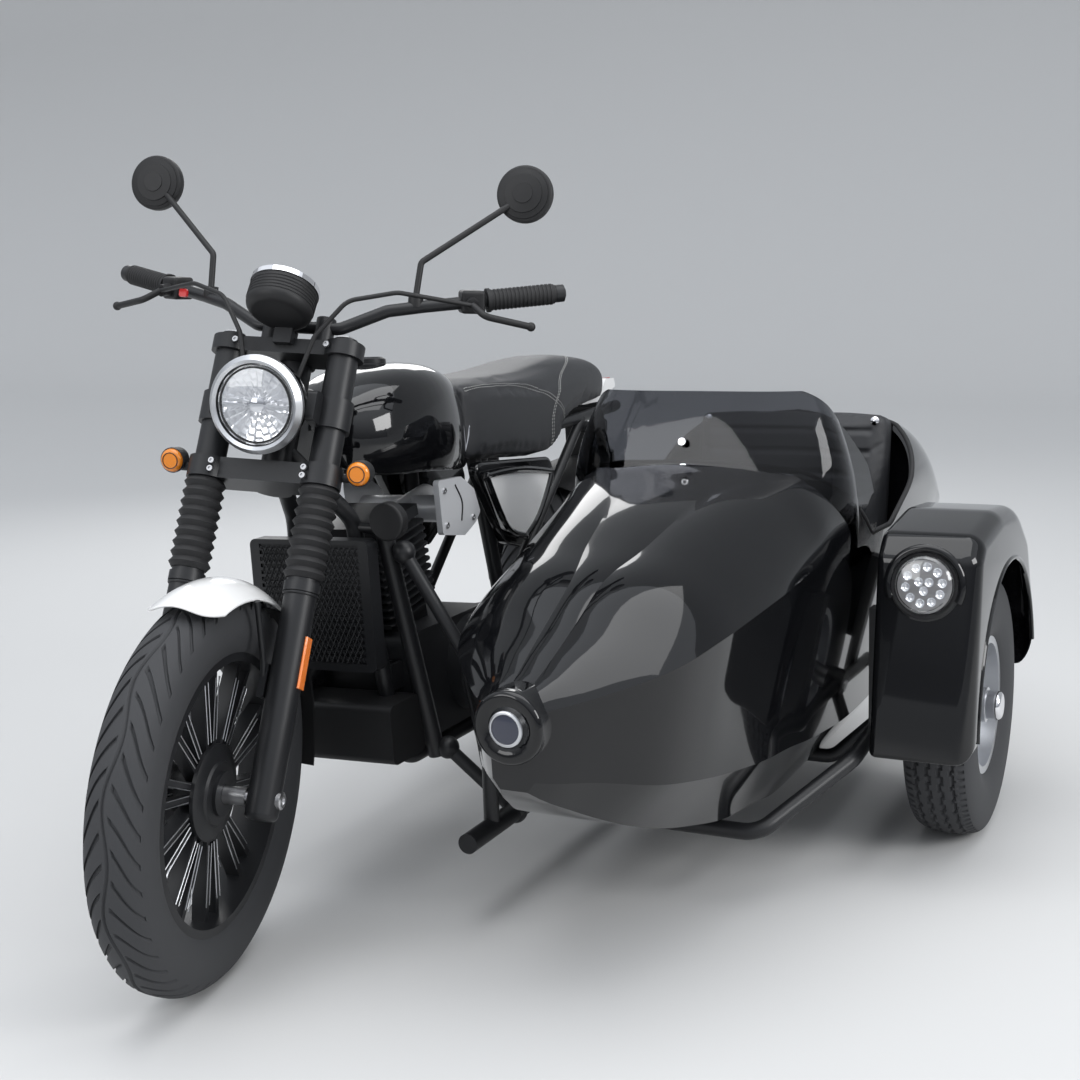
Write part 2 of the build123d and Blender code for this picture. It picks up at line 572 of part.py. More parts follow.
frame = frame_tubes(0) + head_room * Cylinder(HEAD_TUBE_R, head_len)
frame += ball(lug_top, LUG_TUBE_R + 3)
RADIATOR_BACK = 384.0
for side in (-1, 1):
    for pad_z in (470, 640):
        pad_x = side * (62 + 34 * (690 - pad_z) / 454)
        frame += box_between((pad_x - 8, RADIATOR_BACK + SEAT_GAP, pad_z - 14), (pad_x + 8, 420, pad_z + 14))
ENGINE_FRONT = 474.0
for side in (-1, 1):
    for pad_x in (76, 96):
        frame += box_between((side * pad_x - 4, 436, 372), (side * pad_x + 4, ENGINE_FRONT - SEAT_GAP, 420))
frame -= head_room * Cylinder(STEM_R + SEAT_GAP, head_len + 200)

# Engine as one closed mass with its outer form open to view: fins, covers and ribs
ENGINE_HALF = 120.0
CASE_LOW = 262.0
CASE_HIGH = 468.0
engine = box_between((-ENGINE_HALF, ENGINE_FRONT, CASE_LOW), (ENGINE_HALF, 792, CASE_HIGH))
engine = fillet(engine.edges().filter_by(Axis.X), 42)
BARREL_LEAN = 10.0
FINS = 11
FIN_T = 3.5
FIN_PITCH = 15.0
barrel_at = Location((0, 572, CASE_HIGH - 14), (BARREL_LEAN, 0, 0))
barrel = Pos(0, 0, 110) * Box(128, 128, 220)
for index in range(FINS):
    fin = Pos(0, 0, 42 + index * FIN_PITCH) * Box(172, 166, FIN_T)
    barrel += fillet(fin.edges().filter_by(Axis.Z), 16)
barrel += Pos(0, 0, 214) * Box(150, 150, 22)
engine += barrel_at * barrel
engine += disc_x(93, ENGINE_HALF, 150, 690, 368) + disc_x(99, -152, -ENGINE_HALF, 610, 368)
engine -= disc_x(60, 146, 160, 690, 368) - disc_x(52, 140, 161, 690, 368)
engine -= frame_tubes(ENGINE_TUBE_GAP)
keep_bike("engine", engine)

radiator = box_between((-124, RADIATOR_BACK - 32, 428), (124, RADIATOR_BACK, 662))
radiator = fillet(radiator.edges().filter_by(Axis.Y), 12)
for index in range(18):
    radiator -= Pos(0, RADIATOR_BACK - 32, 446 + index * 12) * Box(208, 8, 7)
keep_bike("radiator", radiator)

# Exhaust, down the front, under the engine's right side and back to the silencer
PIPE_R = 19.0
SILENCER_R = 45.0
exhaust_path = [
    (-32, 500, 600), (-32, 420, 585), (-32, 409, 450), (-60, 406, 404), (-150, 412, 392),
    (-168, 470, 320), (-168, 540, 226), (-168, 960, 232)]
silencer_path = [(-176, 925, 236), (-200, 1500, 315)]
exhaust = rod(exhaust_path, PIPE_R, 22) + rod(silencer_path, SILENCER_R)
exhaust += rod([(-176, 925, 236), (-174, 880, 229)], SILENCER_R * 0.7)
exhaust -= barrel_at * (Pos(0, 0, 110) * Box(128 + 2 * SEAT_GAP, 128 + 2 * SEAT_GAP, 240))
for index in range(FINS):
    fin_room = Box(176, 166 + 2 * SEAT_GAP, FIN_T + 2 * SEAT_GAP)
    exhaust -= barrel_at * (Pos(0, 0, 42 + index * FIN_PITCH) * fin_room)
exhaust -= frame_tubes(1.0)
keep_bike("exhaust", exhaust)

belly = box_between((-104, 358, 258), (140, 468, 366))
belly = fillet(belly.edges().filter_by(Axis.X), 14)
belly -= rod(exhaust_path, PIPE_R + 2, 22)
belly -= frame_tubes(SEAT_GAP)
belly -= engine
keep_bike("belly_box", belly)

# Throttle body behind the barrel, with a cover on each side
COVER_OUT = 112.0
COVER_T = 12.0
THROTTLE_AT = (700.0, 664.0)
cover_profile = [
    (628, 728), (716, 724), (764, 694), (784, 646), (762, 628), (716, 610), (634, 624)]
throttle = mirrored(side_plate(cover_profile, COVER_OUT - COVER_T, COVER_OUT, 8, 0))
throttle += disc_x(26, -COVER_OUT + 2, COVER_OUT - 2, *THROTTLE_AT)
throttle += rod([(0, 560, 640), (0, 772, 674)], 29)
throttle -= barrel_at * (Pos(0, 0, 110) * Box(200, 166 + 2 * SEAT_GAP, 300))
keep_bike("throttle_covers", throttle)

# Horn on the lug tube
HORN_R = 34.0
horn = Location((154, 380, 692), (90, 0, 0)) * Cylinder(HORN_R, 24)
horn = fillet(horn.edges(), 5)
horn += box_between((126, 391, 682), (164, 410, 702))
horn -= frame_tubes(SEAT_GAP)
horn -= ball(lug_top, LUG_TUBE_R + 3 + SEAT_GAP)
keep_bike("horn", horn)

# Fuel tank, lofted through upright sections from nose to seat
# y, bottom half width, bottom z, widest half width, widest z, shoulder half width, shoulder z, crown z
TANK_ROWS = [
    (408, 30, 792, 52, 830, 36, 868, 878),
    (440, 76, 766, 98, 820, 76, 885, 902),
    (520, 108, 756, 132, 830, 104, 915, 940),
    (620, 116, 748, 140, 835, 112, 925, 952),
    (700, 112, 740, 128, 830, 102, 915, 946),
    (762, 96, 738, 104, 820, 84, 890, 918),
    (792, 84, 742, 88, 810, 70, 856, 872),
]


def tank_section(row):
    """Closed section of the tank with a flat bottom."""
    y, low_half, low_z, wide_half, wide_z, top_half, top_z, crown_z = row
    outline = Line((-low_half, low_z), (low_half, low_z))
    outline += Spline(
        (low_half, low_z), (wide_half, wide_z), (top_half, top_z), (0, crown_z),
        (-top_half, top_z), (-wide_half, wide_z), (-low_half, low_z))
    return Plane(origin=(0, y, 0), x_dir=(1, 0, 0), z_dir=(0, -1, 0)) * make_face(outline)


tank = loft([tank_section(row) for row in TANK_ROWS])
tank -= rod(backbone_path, BACKBONE_R + 1, 120)
keep_bike("fuel_tank", tank)

# Seat, side panels and tail
SEAT_HALF = 122.0
seat_profile = [
    (796, 790), (800, 862), (860, 840), (980, 832), (1110, 852), (1200, 902), (1310, 915), (1440, 896),
    (1500, 850), (1480, 812), (1150, 800)]
seat = side_plate(seat_profile, -SEAT_HALF, SEAT_HALF, 10)
keep_bike("rider_seat", seat - frame_tubes(SEAT_GAP))

PANEL_IN = 120.0
PANEL_T = 12.0
panel_profile = [(777, 723), (1070, 690), (1000, 604), (935, 566), (850, 600)]
panels = mirrored(side_plate(panel_profile, PANEL_IN, PANEL_IN + PANEL_T, 16))
panel_pegs = mirrored(disc_x(8, 86, PANEL_IN + 2, 858, 640))
panels += panel_pegs
keep_bike("side_panels", panels - frame_tubes(SEAT_GAP))

tail_profile = [(1180, 799), (1478, 811), (1512, 848), (1560, 846), (1566, 826), (1470, 799)]
tail = side_plate(tail_profile, -70, 70, 4) - frame_tubes(SEAT_GAP)
keep_bike("tail_unit", tail)

REAR_GUARD_R = REAR_TYRE_R + 30.0
rear_guard = blade(REAR_GUARD_R, 84, 30, GUARD_T, 12, 118)
rear_guard = rear_wheel_at * rear_guard
strap_low = (-26, SEAT_CROSS_Y - 8, REAR_TYRE_R + REAR_GUARD_R - 8)
strap = box_between(strap_low, (26, SEAT_CROSS_Y + 8, SEAT_CROSS_Z - 4))
rear_guard += strap - frame_tubes(SEAT_GAP)
keep_bike("rear_mudguard", rear_guard)
keep_bike("rear_lamp", box_between((-46, 1556, 828), (46, 1590, 846)) - tail)

# Swingarm, rear axle and spacers
SWING_R = 18.0
SHOCK_X = 146.0
shock_low = (SHOCK_X, 1330, 352)
shock_high = (SHOCK_X, 1292, 756)
SHOCK_PIN_R = 8.0
swing = rod([(-58, PIVOT_Y, PIVOT_Z), (58, PIVOT_Y, PIVOT_Z)], 16)
for side in (-1, 1):
    arm = [(side * 50, PIVOT_Y, PIVOT_Z), (side * 102, 1010, 380), (side * 110, WHEELBASE + 18, REAR_TYRE_R)]
    swing += rod(arm, SWING_R, 40)
swing += mirrored(disc_x(SHOCK_PIN_R, 100, SHOCK_X + 14, shock_low[1], shock_low[2]))
swing += mirrored(disc_x(14, 100, SHOCK_X - 14, shock_low[1], shock_low[2]))
swing -= disc_x(REAR_AXLE_R + RUNNING_FIT, -200, 200, WHEELBASE, REAR_TYRE_R)
keep_bike("swingarm", swing)
rear_axle = disc_x(REAR_AXLE_R, -136, 136)
arm_face = 110 - SWING_R - SEAT_GAP
rear_axle += disc_x(14, REAR_HUB_HALF + SPROCKET_T + PIVOT_GAP, arm_face)
rear_axle += disc_x(14, -arm_face, -REAR_HUB_HALF - DISC_T - PIVOT_GAP)
keep_bike("rear_axle", rear_wheel_at * rear_axle)

SPRING_R = 26.0
SPRING_COILS = 9
SPRING_WIRE_R = 4.5
shock = rod([shock_low, shock_high], 11)
shock_run = [shock_high[i] - shock_low[i] for i in range(3)]


def along_shock(share):
    """Point on the shock absorber's middle line."""
    return tuple(shock_low[i] + shock_run[i] * share for i in range(3))


shock += rod([along_shock(0.12), along_shock(0.16)], SPRING_R + 2)
shock += rod([along_shock(0.80), along_shock(0.86)], SPRING_R + 2)
for index in range(SPRING_COILS):
    share = 0.19 + index * 0.60 / (SPRING_COILS - 1)
    shock += Location(along_shock(share), (5.4, 0, 0)) * Torus(SPRING_R - SPRING_WIRE_R, SPRING_WIRE_R)
shock += rod([along_shock(0.12), along_shock(0.86)], SPRING_R - SPRING_WIRE_R - 1)
for end in (shock_low, shock_high):
    shock += disc_x(18, SHOCK_X - 13, SHOCK_X + 13, end[1], end[2])
    shock -= disc_x(SHOCK_PIN_R + SEAT_GAP, SHOCK_X - 20, SHOCK_X + 20, end[1], end[2])
keep_bike("rear_shocks", mirrored(shock))

# Frame with the upper shock pins
pins = disc_x(SHOCK_PIN_R, 104, SHOCK_X + 14, shock_high[1], shock_high[2])
pins += disc_x(13, 100, SHOCK_X - 14, shock_high[1], shock_high[2])
keep_bike("bike_frame", frame + mirrored(pins))

# Footrests on the cradle
PEG_R = 11.0
peg_root = 98 + TUBE_R + SEAT_GAP
pegs = disc_x(PEG_R, peg_root, 205, 856, 330) + disc_x(16, peg_root, peg_root + 10, 856, 330)
keep_bike("footrests", mirrored(pegs))

# Sidecar hull, lofted through upright sections
HULL_WALL = 6.0
# y, floor half width and z, chine half width and z, shoulder half width and z,
# flank half width and z, ridge half width and z, crown z
HULL_ROWS = [
    (32, 22, 376, 34, 392, 38, 494, 34, 500, 12, 505, 506),
    (120, 56, 322, 96, 372, 122, 511, 98, 530, 20, 547, 549),
    (210, 88, 276, 150, 346, 185, 530, 144, 562, 24, 588, 591),
    (310, 108, 237, 180, 326, 220, 552, 170, 604, 28, 635, 639),
    (410, 122, 208, 194, 308, 236, 566, 182, 632, 50, 665, 670),
    (540, 137, 178, 209, 290, 251, 582, 196, 664, 70, 703, 708),
    (676, 145, 163, 215, 275, 260, 598, 214, 694, 104, 732, 738),
    (770, 150, 150, 220, 262, 266, 608, 230, 712, 190, 742, 757),
    (1000, 152, 150, 224, 240, 274, 630, 242, 728, 196, 756, 768),
    (1250, 152, 150, 222, 240, 276, 636, 248, 736, 204, 764, 778),
    (1480, 148, 160, 214, 256, 266, 632, 242, 726, 200, 762, 782),
    (1680, 124, 220, 188, 310, 246, 590, 222, 656, 176, 690, 708),
    (1840, 96, 300, 152, 370, 214, 530, 190, 572, 144, 594, 604),
    (1950, 60, 390, 104, 420, 150, 478, 134, 498, 98, 511, 516),
]


def hull_section(row, inset):
    """Closed section of the hull with a crease at each shoulder and ridge, smaller by the inset."""
    y = row[0]
    half = [row[1] - inset * 0.5, row[3] - inset, row[5] - inset]
    level = [row[2] + inset, row[4] + inset * 0.4, row[6]]
    flank = (row[7] - inset * 0.7, row[8] - inset * 0.7)
    ridge = (row[9] - inset * 0.2, row[10] - inset)
    side = list(zip(half, level))
    outline = Polyline((-half[2], level[2]), (-half[1], level[1]), (-half[0], level[0]), *side)
    outline += ThreePointArc(side[2], flank, ridge)
    outline += ThreePointArc(ridge, (0, row[11] - inset), (-ridge[0], ridge[1]))
    outline += ThreePointArc((-ridge[0], ridge[1]), (-flank[0], flank[1]), (-half[2], level[2]))
    return Plane(origin=(BODY_X, y, 0), x_dir=(1, 0, 0), z_dir=(0, -1, 0)) * make_face(outline)


def hull_solid(inset):
    """The hull as a closed solid, drawn in by the inset."""
    rows = [list(row) for row in HULL_ROWS]
    rows[0][0] += inset
    rows[-1][0] -= inset
    return loft([hull_section(row, inset) for row in rows], ruled=True)


hull = hull_solid(0)
void = hull_solid(HULL_WALL)
hull_room = hull_solid(-SEAT_GAP)
SILL_Z = 604.0
HOOD_EDGE = (790, 752)
cockpit_profile = [
    (HOOD_EDGE[0], 900), HOOD_EDGE, (1002, SILL_Z), (1150, SILL_Z - 6), (1300, 668), (1441, 772), (1441, 900)]
cockpit_room = side_plate(cockpit_profile, BODY_X - 320, BODY_X + 320)
body = hull - void
SEAT_BASE_Z = 330.0
BULKHEAD_LEAN = 12.0
SEAT_BASE_Y = 1084.0
BULKHEAD_Y = 1398.0
panels_inside = box_between(
    (BODY_X - 300, SEAT_BASE_Y, SEAT_BASE_Z - HULL_WALL), (BODY_X + 300, 1352, SEAT_BASE_Z))
panels_inside += box_between(
    (BODY_X - 300, SEAT_BASE_Y, 100), (BODY_X + 300, SEAT_BASE_Y + HULL_WALL, SEAT_BASE_Z))
bulkhead_at = Location((BODY_X, BULKHEAD_Y, 560), (-BULKHEAD_LEAN, 0, 0))
panels_inside += bulkhead_at * Box(600, HULL_WALL, 900)
body += panels_inside & hull_solid(HULL_WALL / 2)
POD_NOSE_R = 56.0
pod_nose = Location((BODY_X, 44, 474), (90, 0, 0)) * Cylinder(POD_NOSE_R, 60)
pod_nose = fillet(pod_nose.edges().group_by(Axis.Y)[0], 9)
nose_recess = Location((BODY_X, 14, 474), (90, 0, 0)) * Cylinder(27 + SEAT_GAP, 8)
CUSHION_HALF = 205.0
BACKREST_T = 76.0
BACKREST_H = 350.0
BACKREST_RISE = 45.0
backrest_middle = -HULL_WALL / 2 - SEAT_GAP - BACKREST_T / 2
backrest_room = bulkhead_at * Pos(0, backrest_middle, BACKREST_RISE + 20)
backrest_room *= Box(2 * CUSHION_HALF + 2, BACKREST_T + 2 * SEAT_GAP, BACKREST_H + 42)
body = body - cockpit_room - backrest_room + pod_nose - nose_recess
keep_sidecar("sidecar_body", body)
badge = Location((BODY_X, 16, 474), (90, 0, 0)) * Cylinder(27, 4 - 2 * SEAT_GAP)
keep_sidecar("nose_badge", badge)

# Windscreen wrapped around the front of the cockpit
SCREEN_T = 3.5
# z, front y, front half width, corner y, side half width, side y
SCREEN_ROWS = [
    (560, 712, 178, 800, 268, 900),
    (757, 768, 172, 800, 258, 905),
    (900, 812, 138, 836, 196, 905),
]


def screen_section(row, inset):
    """Plan section of the screen, closed behind the cockpit's front."""
    z, front_y, front_half, corner_y, side_half, side_y = row
    middle = (front_half + side_half) / 2 + 10
    front = front_y + inset
    half = [
        (front_half - inset / 2, front + 4), (middle - inset * 0.7, corner_y - 6 + inset * 0.7),
        (side_half - inset, side_y), (side_half - inset, 1100 + inset)]
    left = [(-x, y) for x, y in reversed(half)]
    curve = Spline(left[1], left[2], left[3], (0, front), half[0], half[1], half[2])
    outline = curve + Polyline(half[2], half[3], left[0], left[1])
    return Plane(origin=(BODY_X, 0, z)) * make_face(outline)


screen_outer = loft([screen_section(row, 0) for row in SCREEN_ROWS])
screen_inner = loft([screen_section(row, SCREEN_T) for row in SCREEN_ROWS])
screen_profile = [(690, 560), (690, 887), (830, 887), (868, 858), (1003, 735), (1030, 620), (1030, 560)]
screen = (screen_outer - screen_inner) & side_plate(screen_profile, BODY_X - 320, BODY_X + 320, 8)
keep_sidecar("sidecar_screen", screen - hull_room)

# Sidecar seat
cushion = box_between(
    (BODY_X - CUSHION_HALF, SEAT_BASE_Y + 4, SEAT_BASE_Z + SEAT_GAP), (BODY_X + CUSHION_HALF, 1340, 430))
keep_sidecar("sidecar_cushion", fillet(cushion.edges(), 20))
backrest = Pos(0, backrest_middle, BACKREST_RISE) * Box(2 * CUSHION_HALF, BACKREST_T, BACKREST_H)
backrest = bulkhead_at * backrest
keep_sidecar("sidecar_backrest", fillet(backrest.edges(), 18))

# Sidecar mudguard, a box section with a wheel arch in its outer side
GUARD_IN = 862.0
GUARD_OUT = 1044.0
GUARD_WALL = 4.0
ARCH_R = SIDE_TYRE_R + 32.0
guard_profile = [
    (776, 236), (834, 596), (872, 632), (1044, 650), (1220, 636), (1346, 556), (1446, 366), (1404, 236)]
side_guard = side_plate(guard_profile, GUARD_IN, GUARD_OUT, 16)
side_guard = fillet(side_guard.edges().group_by(Axis.X)[-1], 12)
guard_hollow = side_plate(guard_profile, GUARD_IN + GUARD_WALL, GUARD_OUT - GUARD_WALL, 16, GUARD_WALL)
guard_hollow += Pos(0, 0, -GUARD_WALL - 1) * guard_hollow
side_guard -= guard_hollow
side_guard -= disc_x(ARCH_R, GUARD_IN - 10, GUARD_OUT + 10, SIDE_WHEEL_Y, SIDE_TYRE_R)
keep_sidecar("sidecar_mudguard", side_guard)
LAMP_R = 45.0
LAMP_T = 22.0
lamp_lean = 9.15
lamp = Pos(0, 0, SEAT_GAP + LAMP_T / 2) * Cylinder(LAMP_R, LAMP_T)
lamp = fillet(lamp.edges().group_by(Axis.Z)[-1], 8)
keep_sidecar("sidecar_front_lamp", Location((GUARD_IN + 88, 826.3, 548), (90 - lamp_lean, 0, 0)) * lamp)
keep_sidecar("sidecar_rear_lamp", Location((GUARD_IN + 88, 1397, 459), (-90 + 27.8, 0, 0)) * lamp)

# Sidecar chassis: an inner rail, an outer rail past the wheel and cross tubes under the floor
SIDE_RAIL_R = 18.0
INNER_RAIL_X = 282.0
INNER_RAIL_Z = 148.0
CROSS_Z = 136.5
OUTER_RAIL_X = 832.0
UPRIGHT_R = 14.0
UPRIGHT_Y = 430.0
UPRIGHT_TOP = 400.0
REAR_UPRIGHT_Y = 1180.0
REAR_UPRIGHT_TOP = 330.0
outer_path = [
    (INNER_RAIL_X, 600, CROSS_Z), (716, 600, CROSS_Z), (OUTER_RAIL_X, 790, 226),
    (OUTER_RAIL_X, SIDE_WHEEL_Y, SIDE_TYRE_R), (OUTER_RAIL_X, 1440, 226), (716, 1600, 150),
    (INNER_RAIL_X, 1600, 150)]
middle_path = [(INNER_RAIL_X, 1060, CROSS_Z), (720, 1060, CROSS_Z), (OUTER_RAIL_X, SIDE_WHEEL_Y, 240)]


def chassis_tubes(extra):
    """The sidecar chassis tubes, or the room that they take with an extra radius."""
    tubes = rod([(INNER_RAIL_X, 340, INNER_RAIL_Z), (INNER_RAIL_X, 1640, INNER_RAIL_Z)], SIDE_RAIL_R + extra)
    tubes += rod(outer_path, 15 + extra, 50)
    tubes += rod(middle_path, 14 + extra, 40)
    for upright_y, top in ((UPRIGHT_Y, UPRIGHT_TOP), (REAR_UPRIGHT_Y, REAR_UPRIGHT_TOP)):
        foot = (INNER_RAIL_X, upright_y, INNER_RAIL_Z)
        tubes += rod([foot, (INNER_RAIL_X, upright_y, top)], UPRIGHT_R + extra)
    return tubes


chassis = chassis_tubes(0)
chassis += disc_x(30, OUTER_RAIL_X - 18, OUTER_RAIL_X + 22, SIDE_WHEEL_Y, SIDE_TYRE_R)
for lug_y in (900, 1300):
    lug_z = 236 if lug_y == 900 else 240
    lug_low = (OUTER_RAIL_X + 4, lug_y - 16, lug_z - 10)
    chassis += box_between(lug_low, (GUARD_IN - SEAT_GAP, lug_y + 16, lug_z + 250))
chassis -= hull_room
chassis -= disc_x(SIDE_AXLE_R + RUNNING_FIT, 700, 1000, SIDE_WHEEL_Y, SIDE_TYRE_R)
keep_sidecar("sidecar_frame", chassis)
stub = disc_x(SIDE_AXLE_R, OUTER_RAIL_X - 24, SIDE_WHEEL_X + SIDE_HUB_HIGH - 16, SIDE_WHEEL_Y, SIDE_TYRE_R)
stub += disc_x(
    22, OUTER_RAIL_X + 22 + SEAT_GAP, SIDE_WHEEL_X + SIDE_HUB_LOW - PIVOT_GAP, SIDE_WHEEL_Y, SIDE_TYRE_R)
keep_sidecar("sidecar_stub_axle", stub)

# Struts between the bike and the sidecar chassis, clamped round the tubes at both ends
STRUT_R = 12.0
KNUCKLE_WALL = 5.0
LOWER_STRUT_Y = 740.0
cradle_low = (down_path[2], down_path[3])
brace = (rail_brace_path[0], rail_brace_path[1])
lug_tube = (lug_top, lug_foot)
inner_rail = ((INNER_RAIL_X, 340, INNER_RAIL_Z), (INNER_RAIL_X, 1640, INNER_RAIL_Z))
front_upright = ((INNER_RAIL_X, UPRIGHT_Y, INNER_RAIL_Z), (INNER_RAIL_X, UPRIGHT_Y, UPRIGHT_TOP))
rear_upright = (
    (INNER_RAIL_X, REAR_UPRIGHT_Y, INNER_RAIL_Z), (INNER_RAIL_X, REAR_UPRIGHT_Y, REAR_UPRIGHT_TOP))
# bike end, bike tube and its radius, sidecar end, sidecar tube and its radius
STRUTS = [
    ((132, 421, 636), lug_tube, LUG_TUBE_R,
     (INNER_RAIL_X, UPRIGHT_Y, UPRIGHT_TOP - 4), front_upright, UPRIGHT_R),
    ((102, 1010, 545), brace, RAIL_R - 1,
     (INNER_RAIL_X, REAR_UPRIGHT_Y, REAR_UPRIGHT_TOP - 4), rear_upright, UPRIGHT_R),
    ((162, 494, 262), lug_tube, LUG_TUBE_R, (INNER_RAIL_X, 520, INNER_RAIL_Z), inner_rail, SIDE_RAIL_R),
    ((112, LOWER_STRUT_Y, 240), cradle_low, TUBE_R,
     (INNER_RAIL_X, LOWER_STRUT_Y, INNER_RAIL_Z), inner_rail, SIDE_RAIL_R),
]
struts = []
for bike_end, bike_tube, bike_r, side_end, side_tube, side_r in STRUTS:
    strut = rod([bike_end, side_end], STRUT_R)
    strut += ball(bike_end, bike_r + KNUCKLE_WALL) + ball(side_end, side_r + KNUCKLE_WALL)
    strut -= ON_BIKE * rod(bike_tube, bike_r + SEAT_GAP)
    strut -= rod(side_tube, side_r + SEAT_GAP)
    struts.append(strut)
keep_sidecar("sidecar_struts", struts)

os.makedirs("parts", exist_ok=True)
for node_name, node_shape in NODES.items():
    export_step(node_shape, "parts/" + node_name + ".step")
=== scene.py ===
"""Looks of the sidecar outfit: materials, fine trim, soft goods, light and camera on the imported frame."""

import bpy
import bmesh
import json
from math import atan2, cos, pi, radians, sin, sqrt
from mathutils import Matrix, Vector
from mathutils.bvhtree import BVHTree


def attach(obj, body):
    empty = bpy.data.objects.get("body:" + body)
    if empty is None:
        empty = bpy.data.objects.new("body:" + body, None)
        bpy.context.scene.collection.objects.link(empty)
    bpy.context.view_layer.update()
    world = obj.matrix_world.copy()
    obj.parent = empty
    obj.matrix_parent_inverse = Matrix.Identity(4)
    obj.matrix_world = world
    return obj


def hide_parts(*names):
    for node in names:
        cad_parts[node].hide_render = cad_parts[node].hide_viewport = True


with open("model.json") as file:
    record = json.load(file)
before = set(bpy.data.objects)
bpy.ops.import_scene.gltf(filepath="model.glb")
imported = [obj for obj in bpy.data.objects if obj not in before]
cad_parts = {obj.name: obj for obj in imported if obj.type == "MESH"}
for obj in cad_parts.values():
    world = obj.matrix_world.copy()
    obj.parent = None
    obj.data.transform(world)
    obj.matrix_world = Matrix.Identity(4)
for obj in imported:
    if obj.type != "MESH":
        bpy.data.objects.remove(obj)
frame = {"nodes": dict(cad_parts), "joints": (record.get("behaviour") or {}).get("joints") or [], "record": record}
nodes = frame["nodes"]
joints = {joint["name"]: joint for joint in frame["joints"]}
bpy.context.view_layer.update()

# Driving sizes in millimetres and degrees, as in the solids
ORIGIN = (280.0, 820.0, 0.0)
LEAN_OUT = 2.0
RAKE = 26.0
PARKED_STEER = 13.5
LEG_X = 102.0
BODY_X = 538.0


def placed(at, degrees=0.0, axis="X"):
    """Matrix that turns about one axis and then moves to a point."""
    return Matrix.Translation(at) @ Matrix.Rotation(radians(degrees), 4, axis)


# Places: each matrix takes millimetres and gives metres in the row frame
MM = Matrix.Scale(0.001, 4)
ON_GROUND = MM @ Matrix.Translation([-v for v in ORIGIN])
ON_BIKE = ON_GROUND @ Matrix.Rotation(radians(-LEAN_OUT), 4, "Y")
steering = joints["steering_turn"]
steer_at = Vector(steering["pos_m"])
turned = Matrix.Rotation(radians(PARKED_STEER), 4, Vector(steering["axis"]))
ON_STEER = Matrix.Translation(steer_at) @ turned @ Matrix.Translation(-steer_at) @ ON_BIKE
AXLE_Z = (ON_STEER.inverted() @ Vector(joints["front_wheel_spin"]["pos_m"])).z
FORK = placed((0, 0, AXLE_Z), -RAKE)
IN_FORK = ON_STEER @ FORK


def fork_point(x, along, ahead):
    """Bike coordinates of a point given along the fork legs and ahead of them."""
    return FORK @ Vector((x, -ahead, along))


def wheel_place(joint_name):
    """Matrix of a wheel with its axle along X and its middle at the joint."""
    joint = joints[joint_name]
    axle = Vector(joint["axis"]).normalized()
    up = (Vector((0, 0, 1)) - axle * axle.z).normalized()
    turn = Matrix((axle, up.cross(axle), up)).transposed().to_4x4()
    return Matrix.Translation(joint["pos_m"]) @ turn @ MM


# Materials
def material(name, colour, roughness, metallic=0.0, coat=0.0, transmission=0.0, ior=1.5, specular=0.5):
    """A plain principled material."""
    made = bpy.data.materials.new(name)
    made.use_nodes = True
    shader = made.node_tree.nodes["Principled BSDF"]
    shader.inputs["Base Color"].default_value = (*colour, 1)
    shader.inputs["Roughness"].default_value = roughness
    shader.inputs["Metallic"].default_value = metallic
    shader.inputs["Coat Weight"].default_value = coat
    shader.inputs["Coat Roughness"].default_value = 0.03
    shader.inputs["Transmission Weight"].default_value = transmission
    shader.inputs["IOR"].default_value = ior
    shader.inputs["Specular IOR Level"].default_value = specular
    return made


def add_bump(made, scale, strength, detail=2.0, kind="noise"):
    """Fine surface relief on a material."""
    tree = made.node_tree
    place = tree.nodes.new("ShaderNodeTexCoord")
    if kind == "grain":
        pattern = tree.nodes.new("ShaderNodeTexVoronoi")
        pattern.inputs["Scale"].default_value = scale
        height = pattern.outputs["Distance"]
    else:
        pattern = tree.nodes.new("ShaderNodeTexNoise")
        pattern.inputs["Scale"].default_value = scale
        pattern.inputs["Detail"].default_value = detail
        height = pattern.outputs["Fac"]
    bump = tree.nodes.new("ShaderNodeBump")
    bump.inputs["Strength"].default_value = strength
    bump.inputs["Distance"].default_value = 0.001
    tree.links.new(place.outputs["Object"], pattern.inputs["Vector"])
    tree.links.new(height, bump.inputs["Height"])
    tree.links.new(bump.outputs["Normal"], tree.nodes["Principled BSDF"].inputs["Normal"])
    return made


